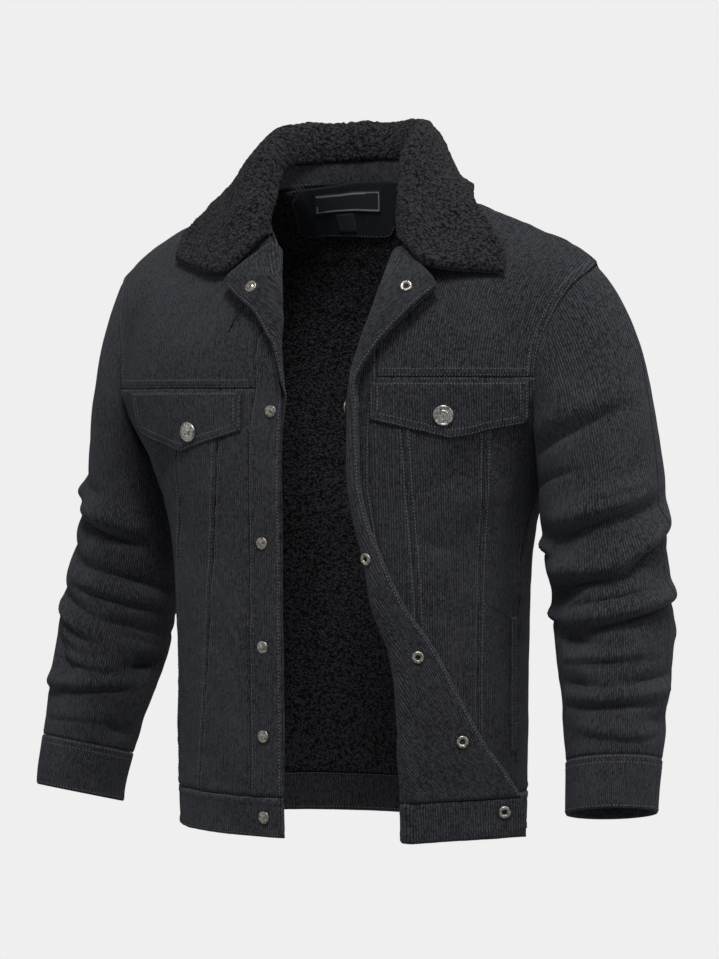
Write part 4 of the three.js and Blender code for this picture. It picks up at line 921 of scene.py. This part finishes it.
def front_pieces(side):
    front = Front(side)
    word = "left" if side > 0 else "right"
    turn = float(side)
    table = SEAMS[side]

    def flat(value):
        return lambda x: value + 0 * x

    seam_a = lambda t: front.d_of(read(table, t)[0], t)
    seam_b = lambda t: front.d_of(read(table, t)[1], t)
    outer = lambda t: front.d_of(edge_s(1, t), t)
    bottom, yoke, top = flat(BAND_Z), flat(front.yoke), front.top
    wrinkle = front_wrinkle(side)
    ride_s = lambda s, t: wrinkle(s, t) * ramp(s, read(front.rows, t)[0] + 1, read(front.rows, t)[0] + 14)
    cord = ("corduroy", CORD)

    def make(name, left, right, size, vs, low, middle, high, offsets, look, seams, rows, grain="s", wrinkles=True):
        d, t = between(spaced(size, 2.9), vs, left, right, low, middle, high)
        s = front.s_of(d, t)
        u = s if grain == "s" else d
        wr = (lambda _, tt: ride_s(s, tt)) if wrinkles else None
        seed = sum(map(ord, name)) % 17
        return shell_piece(name, front.surface, d, t, u, turn, offsets, look[1], look[0], seams, rows, seed, wr)

    tall = front.yoke - BAND_Z
    low_rows = spaced(tall, 3.0)
    up_rows = spaced(150, 2.8)
    all_rows = np.concatenate([spaced(tall, 3.0), 1 + spaced(150, 2.8)[1:]])
    yoke_right = lambda t: front.d_of(edge_s(1, np.maximum(t, front.yoke - 1)), t)
    double = [("B", 2.0, 0, 0), ("B", 8.5, 0, 0), ("R", 2.2, 0, 0), ("R", 8.5, 0, 0)]
    make(f"{word}_front_yoke", flat(PLACKET), yoke_right, 230 if side < 0 else 200, up_rows, yoke, top, None,
         (0, SHELL), cord, "BRL", double)
    make(f"{word}_placket", flat(0.0), flat(PLACKET), 44, all_rows, bottom, yoke, top, (0, SHELL + 0.3), cord, "LR",
         [("L", 2.6, 0, 4), ("R", 2.0, 0, 30)], "d")
    make(f"{word}_front_centre_panel", flat(PLACKET), seam_a, 80, low_rows, bottom, yoke, None, (0, SHELL), cord,
         "LRB", [("R", 2.0, 0, 0)])
    make(f"{word}_front_middle_panel", seam_a, seam_b, 66, low_rows, bottom, yoke, None, (0, SHELL), cord, "LRB",
         [("R", 2.0, 0, 0), ("L", 5.5, 0, 0)])
    make(f"{word}_front_side_panel", seam_b, outer, 105, low_rows, bottom, yoke, None, (0, SHELL), cord, "LRBT",
         [("L", 5.5, 0, 0), ("R", 2.2, 355, 0), ("R", 8.5, 355, 0)])
    facing = ("facing_corduroy", FACE)
    facing_edge = lambda t: np.maximum(FACING, read(front.rows, t)[1] + math.pi * front.roll + 5)
    obj, face_outer, face_n = make(
        f"{word}_facing", flat(0.0), facing_edge, 62, all_rows, bottom, yoke, top, (-UNDER - SHELL, -UNDER), facing,
        "", [], "d", False)
    # Its stitching lies on its inner face, which is the one seen.
    inner = face_outer - face_n * SHELL
    for edge, offset in (("L", 2.6), ("R", 2.2)):
        line, up = edge_line(inner, -face_n, edge, offset, 0, 4)
        stitch(line, up)
    # Lining of the front.
    lining_side = lambda t: outer(t) - 2.4
    lining_top = lambda d: top(d) - 4.5
    d, t = between(spaced(235 if side < 0 else 220, 3.4), np.concatenate([spaced(tall, 3.4), 1 + spaced(150, 4)[1:]]),
                   lambda t: facing_edge(t) + 0.4, lining_side, bottom, yoke, lining_top)
    p = front.surface(d, t)
    base = p
    tufts = 1.6 * curls(d, t, 8.5, 2) + 0.7 * noise(d, t, 16, 9)
    room = -UNDER - 1.5
    obj, _, _ = cloth(f"lining_{word}_front_look", p, room - PILE + 0.8 - tufts, room, turn, SHERPA,
                      np.stack([d, t], -1), edge=3)
    settle(obj, [f"lining_{word}_front"], "sherpa", base)
    # Hem band.
    make(f"{word}_hem_band", flat(0.0), outer, 330 if side > 0 else 280, spaced(40, 2.5), flat(HEM_Z), bottom, None,
         (-UNDER - SHELL, SHELL + 0.4), cord, "TB", [("T", 2.2, 0, 0), ("B", 4.0, 0, 0)], "s", True)
    # Chest pocket flap.
    f0, f1 = (90.0, 242.0) if side > 0 else (48.0, 203.0)
    flap_top, corner, point = (-198.0, -234.0, -251.0) if side > 0 else (-207.0, -245.0, -265.0)
    flap_low = lambda s: mix(point, corner, np.abs((s - (f0 + f1) / 2) / ((f1 - f0) / 2)))
    d, t = between(spaced(152, 2.0), spaced(50, 2.0), flat(f0), flat(f1), flap_low, flat(flap_top))
    p = front.body(d, t)
    cols, rws = lengths(p, 1), lengths(p, 0)
    free = np.minimum(np.minimum(cols, cols[:, -1:] - cols), rws)
    sag = 0.9 * noise(d, t, 26, 7 + side) * ramp(-t, -flap_top, -corner) + 0.5 * noise(d, t, 10, 4)
    sag += 1.3 * np.exp(-((free - 3) / 6) ** 2) * noise(d * 0.7, t * 0.7, 18, 12) * ramp(-t, -flap_top, -corner + 10)
    sag += 0.3 * np.exp(-((free - 5) / 2.5) ** 2)
    n0 = grid_normals(p, turn)
    obj, flap_outer, flap_n = cloth(f"{word}_pocket_flap_look", p + n0 * (np.maximum(sag, -0.7) + 0.1)[..., None],
                                    SHELL + 1, SHELL + 3.2, turn, CORD, np.stack([d, t], -1), edge=1.6)
    for offset in (2.2, 8.5):
        for edge in "LR":
            stitch(*edge_line(flap_outer, flap_n, edge, offset, offset, 2))
        stitch(*edge_line(flap_outer, flap_n, "B", offset, offset, offset))
    stitch(*edge_line(flap_outer, flap_n, "T", 2.2, 1, 1))
    settle(obj, [f"{word}_pocket_flap"], "corduroy", p)
    # Its button, with a dished rim and a plain ring of dots.
    shift, bt = FLAP_BUTTON[side]
    bs = (f0 + f1) / 2 + shift
    e = 1.0
    at = front.body(bs, bt)
    across = front.body(bs + e, bt) - front.body(bs - e, bt)
    along = front.body(bs, bt + e) - front.body(bs, bt - e)
    bn = unit(np.cross(across, along)) * side
    button = [(0.02, 0, 0), (9.4, 0, 0), (10.0, 0.5, 0), (10.05, 1.1, 0), (9.7, 1.9, 0), (9.1, 2.3, 0), (8.5, 2.3, 0),
              (8.0, 1.9, 0), (7.6, 1.75, 0), (7.2, 1.8, 0.12), (6.5, 1.85, 0.4), (5.8, 1.8, 0.12), (5.4, 1.75, 0),
              (5.0, 2.1, 0), (4.4, 2.3, 0), (3.8, 2.1, 0), (3.4, 1.8, 0), (2.6, 1.9, 0), (1.6, 2.4, 0), (0.8, 2.55, 0),
              (0.02, 2.6, 0)]
    obj = lathe(f"{word}_flap_button_look", at + bn * (SHELL + 3.4), bn, button, BUTTON, 72, 18)
    settle(obj, [f"{word}_flap_button"], "button_metal")
    # Slanted hand pocket with its welt.
    welt = (lambda t: 238 - (t + 493) * 0.01) if side > 0 else (lambda t: 222 - (t + 493) * 0.01)
    d, t = between(spaced(12, 1.5), spaced(134, 2.5), welt, lambda x: welt(x) + 12, flat(-560.0), flat(-426.0))
    p = front.body(d, t)
    p = p + grid_normals(p, turn) * (0.4 * noise(d, t, 14, 3))[..., None]
    obj, welt_outer, welt_n = cloth(f"{word}_pocket_welt_look", p, SHELL + 0.5, SHELL + 1.9, turn, CORD,
                                    np.stack([d, t], -1), edge=0.8)
    for edge in "LR":
        stitch(*edge_line(welt_outer, welt_n, edge, 1.8, 2, 2))
    settle(obj, [f"{word}_pocket_welt"], "corduroy", p)
    # Snaps.
    snaps = (-113, -222, -366, -461, -545, -614) if side > 0 else (-111, -226, -354, -455, -542, -621)
    stud = [(0.02, 0, 0), (5.4, 0, 0), (6.0, 0.35, 0), (6.1, 0.8, 0), (5.8, 1.25, 0), (5.2, 1.5, 0), (4.6, 1.35, 0.1),
            (4.0, 1.3, 0.35), (3.4, 1.35, 0.1), (3.0, 1.5, 0), (2.4, 1.9, 0), (1.6, 2.15, 0), (0.8, 2.25, 0),
            (0.02, 2.3, 0)]
    socket = [(2.3, 0, 0), (5.6, 0, 0), (6.1, 0.4, 0), (6.1, 0.9, 0), (5.7, 1.5, 0), (5.1, 1.85, 0.15), (4.4, 1.9, 0.3),
              (3.8, 1.8, 0.15), (3.2, 1.7, 0), (2.6, 1.3, 0), (2.35, 0.7, 0), (2.3, 0, 0)]
    for k, height in enumerate(snaps):
        inside = side > 0 or k == 0
        over = SHELL + (0.4 if height < BAND_Z else 0.3)
        near = k == 1 or (side > 0 and k == 2)
        d = 13.0 if near else 27.0 if k == 0 else SNAP_D
        h = float(height)
        m = unit(np.cross(front.surface(d + e, h) - front.surface(d - e, h),
                          front.surface(d, h + e) - front.surface(d, h - e))) * side
        inward = -UNDER - SHELL - (0.1 if k < 2 else 0.6)
        place = front.surface(d, h) + m * (inward if inside else over + 0.5)
        kind = "socket" if side > 0 else "stud"
        name = f"{word}_snap_{kind}_{k + 1}"
        obj = lathe(name + "_look", place, -m if inside else m, socket if side > 0 else stud, SNAP, 48, 16)
        settle(obj, [name], "snap_metal")


def back_pieces():
    side = lambda t: edge_s(-1, t)
    top = lambda s: crest_t(-1, s)
    flat = lambda value: (lambda x: value + 0 * x)

    def crease(s, t):
        return fold_lift(BACK_CREASES, s, t) + 1.2 * noise(s, t * 0.5 + 0.3 * s, 60, 21)

    rows = np.concatenate([spaced(398, 4.0), 1 + spaced(260, 4.0)[1:]])
    s, t = between(spaced(560, 4.0), rows, lambda x: -side(x), side, flat(BAND_Z), flat(YOKE_T), top)
    surface = lambda a, b: torso(-1, a, b)
    shell_piece("back_panel", surface, s, t, s, -1.0, (0, SHELL), CORD, "corduroy", "LRBT",
                [("T", 2.2, 4, 4), ("L", 2.2, 345, 0), ("L", 8.5, 345, 0), ("R", 2.2, 345, 0), ("R", 8.5, 345, 0)], 5,
                crease)
    rows = np.concatenate([spaced(398, 3.6), 1 + spaced(260, 3.9)[1:]])
    s, t = between(spaced(560, 3.6), rows, lambda x: 2.4 - side(x), lambda x: side(x) - 2.4, flat(BAND_Z),
                   flat(YOKE_T), lambda x: top(x) - 3.4)
    p = surface(s, t)
    tufts = 1.6 * curls(s, t, 9.0, 4) + 0.7 * noise(s, t, 17, 19)
    obj, _, _ = cloth("lining_back_look", p, -UNDER - PILE + 0.8 - tufts, -UNDER, -1.0, SHERPA,
                      np.stack([s, t], -1), edge=3)
    settle(obj, ["lining_back"], "sherpa", p)
    # Its top edge closes the seam, so that no light shows through it.
    s, t = between(spaced(560, 4.0), spaced(40, 3.0), lambda x: -side(x), side, flat(HEM_Z), flat(BAND_Z + 0.6))
    obj, outer, n = shell_piece("back_hem_band", surface, s, t, s, -1.0, (-UNDER - SHELL, SHELL + 0.4), CORD,
                                "corduroy", "TB", [("T", 2.2, 0, 0), ("B", 4.0, 0, 0)], 6, None)
    inner = outer - n * (UNDER + 2 * SHELL + 0.4)
    stitch(*edge_line(inner, -n, "T", 2.4, 0, 0))
    stitch(*edge_line(inner, -n, "B", 4.0, 0, 0))
    # Facing at the neck with the bare label and the bare size tab.
    def rounded(x):
        into = np.minimum(x + 96, 11 - x)
        return np.where(into >= 14, 0, 14 - np.sqrt(np.maximum(0, 196 - (14 - np.maximum(0, into)) ** 2)))

    s, t = between(spaced(107, 1.8), spaced(60, 1.8), lambda x: -96 + (x + 31) * 0.28,
                   lambda x: 11 + (x + 27) * 0.42, lambda x: -29 + rounded(x),
                   lambda x: top(x) + 2)
    p = surface(s, t)
    obj, outer, n = cloth("neck_facing_look", p, -UNDER - PILE - 3.4, -UNDER - PILE - 2, -1.0, TAPE,
                          np.stack([s, t], -1), edge=1.0)
    inner = outer - n * 1.4
    for edge in "LRB":
        stitch(*edge_line(inner, -n, edge, 2.2, 1, 1))
    settle(obj, ["neck_facing"], "facing_corduroy", p)
    label_edges = (lambda x: -70 + (x - 5) * 0.24, lambda x: 1 + (x - 1) * 0.22, lambda x: 5 - (x + 70) * 0.056,
                   lambda x: np.minimum(33, top(x) - 7))
    for name, size, edges in (("neck_label", (70, 27), label_edges),
                              ("size_tab", (19, 22), (flat(-52.0), flat(-33.0), flat(-21.0), flat(1.0)))):
        s, t = between(spaced(size[0], 1.0), spaced(size[1], 1.0), *edges)
        p = surface(s, t)
        obj, _, _ = cloth(name + "_look", p, -UNDER - PILE - 4.6, -UNDER - PILE - 3.9, -1.0, LABEL,
                          np.stack([s, t], -1), edge=0.5)
        cols, rws = lengths(p, 1), lengths(p, 0)
        off = np.minimum(np.minimum(cols, cols[:, -1:] - cols), np.minimum(rws, rws[-1:] - rws))
        line = np.where((off > 1.4) & (off < 2.6), 1.0, 0.0) if name == "neck_label" else np.zeros_like(off)
        border = obj.data.attributes.new("border", "FLOAT", "POINT")
        border.data.foreach_set("value", np.concatenate([line.ravel()] * 2).astype(np.float32))
        settle(obj, [name], "label", p)


def sleeve_surface(side):
    """Surface of a sleeve: turn round the arm, and v from the armhole (0) to the join (1), then 1 + mm below it."""
    table, folds, creases = SLEEVES[side], ARM_FOLDS[side], ARM_CREASES[side]
    join = -300.0

    def half(face):
        start = crest_t(face, np.full(1, TIP_S))[0] - 0.5
        t = np.linspace(start, ARMPIT_T, 49)
        s = edge_s(face, t)
        ds, dt = np.gradient(s), np.gradient(t)
        size = np.hypot(ds, dt)
        low = np.clip((-212 - t) / 30, 0, 1)
        away = mix(0.5, 1.2, low)
        s2, t2 = s - dt / size * away, t + ds / size * away
        e = 0.6
        n = unit(np.cross(torso(face, s2 + e, t2) - torso(face, s2 - e, t2),
                          torso(face, s2, t2 + e) - torso(face, s2, t2 - e))) * face
        return torso(face, s2, t2) + n * (-0.4 + low * 2.2)[:, None]

    loop = np.concatenate([half(1), half(-1)[::-1][1:-1]])
    loop = np.concatenate([loop, loop[:1]])
    run = np.concatenate([[0], np.cumsum(np.linalg.norm(np.diff(loop, axis=0), axis=1))])

    def armhole(turn):
        at = (turn % 1.0) * run[-1]
        return np.stack([np.interp(at, run, loop[:, c]) for c in range(3)], axis=-1)

    def ring(turn, height):
        cx, cy, rx, ry = read(table, height)
        angle = turn * 2 * math.pi
        across, deep = rx * np.cos(angle), -ry * np.sin(angle)
        lean = np.clip((join - height) / 120, 0, 1)
        return np.stack([cx + across, cy + deep, height + lean * (0.13 * across - 0.2 * deep)], axis=-1)

    def surface(turn, v):
        turn, v = np.broadcast_arrays(turn, v)
        low = ring(turn, np.minimum(join, join - (v - 1)))
        a, b = armhole(turn), ring(turn, np.full_like(turn, join))
        length = np.linalg.norm(a - b, axis=-1)[..., None]
        angle = turn * 2 * math.pi
        # The left arm stands further out than the right one.
        swing, spread = (0.35, 0.4) if side > 0 else (0.15, 0.2)
        out = unit(np.stack([swing + spread * np.cos(angle), -0.3 * np.sin(angle), -0.75 + 0 * angle], axis=-1))
        down = unit(np.array([0.1, 0, -1.0]))
        w = np.clip(v, 0, 1)[..., None]
        high = hermite(a, out * length, b, down * np.maximum(length, 60) * 0.9, w)
        p = np.where((v > 1)[..., None], low, high)
        t = turn % 1.0
        lift = sum(sharp_lift(folds, t + k, p[..., 2], 370.0) for k in (-1, 0, 1)) * 1.75
        lift += sum(sharp_lift(creases, t + k, p[..., 2], 370.0) for k in (-1, 0, 1)) * 2.1
        quiet = np.where(v < 1, v, np.clip((join - (v - 1) - table[6][0]) / 18, 0, 1))
        # The weak unevenness closes on itself round the arm.
        round_x, round_y = 58 * np.cos(angle), 58 * np.sin(angle)
        soft = noise(round_x + p[..., 2] * 0.5, round_y - p[..., 2] * 0.9, 30, 14 + side)
        soft += 0.5 * noise(round_x - p[..., 2], round_y + p[..., 2] * 0.5, 13, 24 + side)
        lift = lift + 0.9 * soft
        cx, cy, _, _ = read(table, np.minimum(join, p[..., 2]))
        axis = np.stack([p[..., 0] - cx, p[..., 1] - cy, 0 * cx], axis=-1)
        return p + unit(axis) * (lift * np.clip(quiet + 0.12, 0, 1) * ramp(v, -0.01, 0.12))[..., None]

    if side > 0:
        return surface
    return lambda turn, v: surface(turn, v) * np.array([-1.0, 1, 1])


def sleeve_pieces(side):
    word = "left" if side > 0 else "right"
    surface = sleeve_surface(side)
    seam = SLEEVES[side][6][0]
    long = -300.0 - seam
    turns = np.arange(132) / 132
    rows = np.concatenate([np.linspace(0, 1, 62), 1 + np.linspace(0, long, 96)[1:]])
    turn, v = np.meshgrid(turns, rows)
    p = surface(turn, v)
    around = turn * 370.0
    down = lengths(p, 0)
    puckers = 0.5 * noise(np.cos(turn * 2 * math.pi) * 60, np.sin(turn * 2 * math.pi) * 60, 5, 8)
    ease = np.exp(-((down - 3) / 7) ** 2) + np.exp(-((down[-1:] - down - 4) / 8) ** 2)
    sign = 1.0 if side > 0 else -1.0
    n = grid_normals(p, sign, True)
    base = p
    p = p + n * (puckers * ease)[..., None]
    obj, outer, n = cloth(f"{word}_sleeve_look", p, 0.0, SHELL, sign, CORD, np.stack([around, -down], -1), True)
    settle(obj, [f"{word}_sleeve"], "corduroy", base, closed=True)
    rows = np.linspace(1.4 + long, 1 + long + CUFF, 22)
    turn, v = np.meshgrid(turns, rows)
    p = surface(turn, v)
    down = lengths(p, 0)
    obj, outer, n = cloth(f"{word}_cuff_look", p, -0.3, SHELL + 0.6, sign, CORD,
                          np.stack([turn * 370.0, -down - 500], -1), True, edge=1.8)
    loop = lambda a: np.concatenate([a, a[:, :1]], axis=1)
    for edge, offset in (("B", 2.2), ("B", 8.0), ("T", 3.0)):
        stitch(*edge_line(loop(outer), loop(n), edge, offset, 0, 0))
    settle(obj, [f"{word}_cuff"], "corduroy", p, closed=True)


def spline(points, at):
    """Smooth curve through points on the first axis, at an array of places."""
    n = len(points) - 1
    at = np.asarray(at, float)
    k = np.clip(np.floor(at).astype(int), 0, n - 1)
    w = at - k
    pad = np.arange(n + 1)
    ahead, behind = np.minimum(n, pad + 1), np.maximum(0, pad - 1)
    slope = (points[ahead] - points[behind]) / (ahead - behind).reshape(-1, *([1] * (points.ndim - 1)))
    w = w.reshape(-1, *([1] * (points.ndim - 1)))
    return hermite(points[k], slope[k], points[k + 1], slope[k + 1], w)


def collar_pieces():
    flip = lambda station: [(-x, y, z) for x, y, z in station]
    stations = [flip(s) for s in COLLARS[-1][::-1]] + [COLLAR_BACK] + COLLARS[1]
    stations = np.array(stations, float)
    last = len(stations) - 1

    def surface(along, profile):
        rows = spline(stations.transpose(1, 0, 2), profile)
        return spline(rows.transpose(1, 0, 2), along).transpose(1, 0, 2)

    def arrays(columns, low, high, count):
        along = np.linspace(0.02, last - 0.02, columns)
        return along, np.linspace(low, high, count)

    along, profile = arrays(220, -0.5, 1.06, 20)
    p = surface(along, profile)
    u, v = lengths(p, 1), lengths(p, 0)
    p = p + grid_normals(p, 1.0) * (0.35 * noise(u, v, 18, 2))[..., None]
    obj, outer, n = cloth("collar_stand_look", p, -1.0, 1.0, 1.0, FACE, np.stack([u, v], -1), edge=0.7)
    inner = outer - n * 2
    settle(obj, ["collar_stand"], "corduroy", p)
    along, profile = arrays(330, 1.0, 6.0, 120)
    p = surface(along, profile)
    u, v = lengths(p, 1), lengths(p, 0)
    u = u[60:61] + 0 * u
    n = smooth_grid(grid_normals(p, 1.0), 3)
    cols, rws = u, v
    off = np.minimum(np.minimum(cols, cols[:, -1:] - cols), np.minimum(rws, rws[-1:] - rws))
    plump = np.sqrt(np.clip(1 - (1 - np.clip(off / 6, 0, 1)) ** 2, 0, 1))
    tufts = 1.7 * curls(u, v, 5.2, 6) + 1.1 * curls(u + 3, v, 3.3, 13) + 1.2 * noise(u, v, 22, 5)
    hang = 1.0 * noise(u, v * 0.5, 40, 9)
    thick = 1.2 + (COLLAR_PILE - 2.6 + tufts) * plump
    obj, _, _ = cloth("collar_look", p + n * hang[..., None], 0.0, thick, 1.0, COLLAR_PLUSH, np.stack([u, v], -1),
                      edge=0, normals=n)
    settle(obj, ["collar"], "sherpa", p)
    along, profile = arrays(180, 3.5, 5.97, 34)
    p = surface(along, profile)
    u, v = lengths(p, 1), lengths(p, 0)
    hang = 1.0 * noise(u, v * 0.5 + 40, 40, 9)
    obj, outer, n = cloth("under_collar_look", p + grid_normals(p, 1.0) * np.minimum(0.2, hang)[..., None], -2.2, -0.3,
                          1.0, CORD, np.stack([u, v], -1), edge=0.8)
    inner = outer - n * 1.9
    stitch(*edge_line(inner, -n, "T", 3.0, 2, 2))
    settle(obj, ["under_collar"], "corduroy", p)


def sew():
    """All stitches as one mesh of small spindles."""
    bits = np.concatenate(STITCHES)
    spindle = np.array([(0, 1, 2), (0, 2, 3), (0, 3, 4), (0, 4, 1), (5, 2, 1), (5, 3, 2), (5, 4, 3), (5, 1, 4)])
    faces = (spindle[None] + np.arange(len(bits))[:, None, None] * 6).reshape(-1, 3)
    obj = new_object("stitches_look", bits.reshape(-1, 3), faces, THREAD)
    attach(obj, "root")


for side in (-1, 1):
    front_pieces(side)
back_pieces()
for side in (-1, 1):
    sleeve_pieces(side)
collar_pieces()
sew()


# Light, backdrop and camera.
def world():
    """Plain pale backdrop for the camera and soft light for everything else."""
    w = bpy.data.worlds.new("studio")
    bpy.context.scene.world = w
    w.use_nodes = True
    tree = w.node_tree
    tree.nodes.clear()
    out = tree.nodes.new("ShaderNodeOutputWorld")
    seen, lit = tree.nodes.new("ShaderNodeBackground"), tree.nodes.new("ShaderNodeBackground")
    seen.inputs["Color"].default_value = (0.863, 0.863, 0.863, 1)
    lit.inputs["Color"].default_value = (0.95, 0.97, 1.0, 1)
    lit.inputs["Strength"].default_value = 0.3
    path, pick = tree.nodes.new("ShaderNodeLightPath"), tree.nodes.new("ShaderNodeMixShader")
    tree.links.new(path.outputs["Is Camera Ray"], pick.inputs[0])
    tree.links.new(lit.outputs[0], pick.inputs[1])
    tree.links.new(seen.outputs[0], pick.inputs[2])
    tree.links.new(pick.outputs[0], out.inputs[0])


def area_light(name, place, size, power, target=(0, 0, -0.3)):
    data = bpy.data.lights.new(name, "AREA")
    data.shape, data.size, data.size_y = "RECTANGLE", size[0], size[1]
    data.energy = power
    obj = bpy.data.objects.new(name, data)
    bpy.context.scene.collection.objects.link(obj)
    z = np.array(place, float) - np.array(target, float)
    z = z / np.linalg.norm(z)
    x = np.cross([0, 0, 1.0], z)
    x = x / np.linalg.norm(x)
    y = np.cross(z, x)
    obj.matrix_world = Matrix([[x[0], y[0], z[0], place[0]], [x[1], y[1], z[1], place[1]],
                               [x[2], y[2], z[2], place[2]], [0, 0, 0, 1]])


def camera():
    """The photograph's view: 28 degrees round to the wearer's left, level with the chest, 3.7 m away."""
    a, e, far = math.radians(28), math.radians(1.3), 3.7
    back = np.array([math.sin(a) * math.cos(e), -math.cos(a) * math.cos(e), math.sin(e)])
    right = np.array([math.cos(a), math.sin(a), 0])
    up = np.cross(back, right)
    data = bpy.data.cameras.new("view")
    data.sensor_width, data.sensor_fit = 36.0, "AUTO"
    data.lens = 36.0 * far / 0.959
    data.shift_x, data.shift_y = 7.5 / 959, 5.5 / 959
    data.clip_end = 50
    obj = bpy.data.objects.new("view", data)
    bpy.context.scene.collection.objects.link(obj)
    place = np.array([0, 0, -0.3]) + back * far
    obj.matrix_world = Matrix([[right[0], up[0], back[0], place[0]], [right[1], up[1], back[1], place[1]],
                               [right[2], up[2], back[2], place[2]], [0, 0, 0, 1]])
    bpy.context.scene.camera = obj


world()
area_light("key", (1.0, -2.0, 2.5), (0.9, 0.9), 64)
area_light("side", (2.7, -0.7, 1.2), (0.9, 1.4), 17)
area_light("fill", (-2.6, -1.6, 0.7), (1.6, 2.0), 5)
area_light("rim", (0.4, 2.4, 1.8), (2.0, 1.2), 12)
camera()
bpy.context.scene.view_settings.view_transform = "Standard"
bpy.context.scene.view_settings.look = "None"
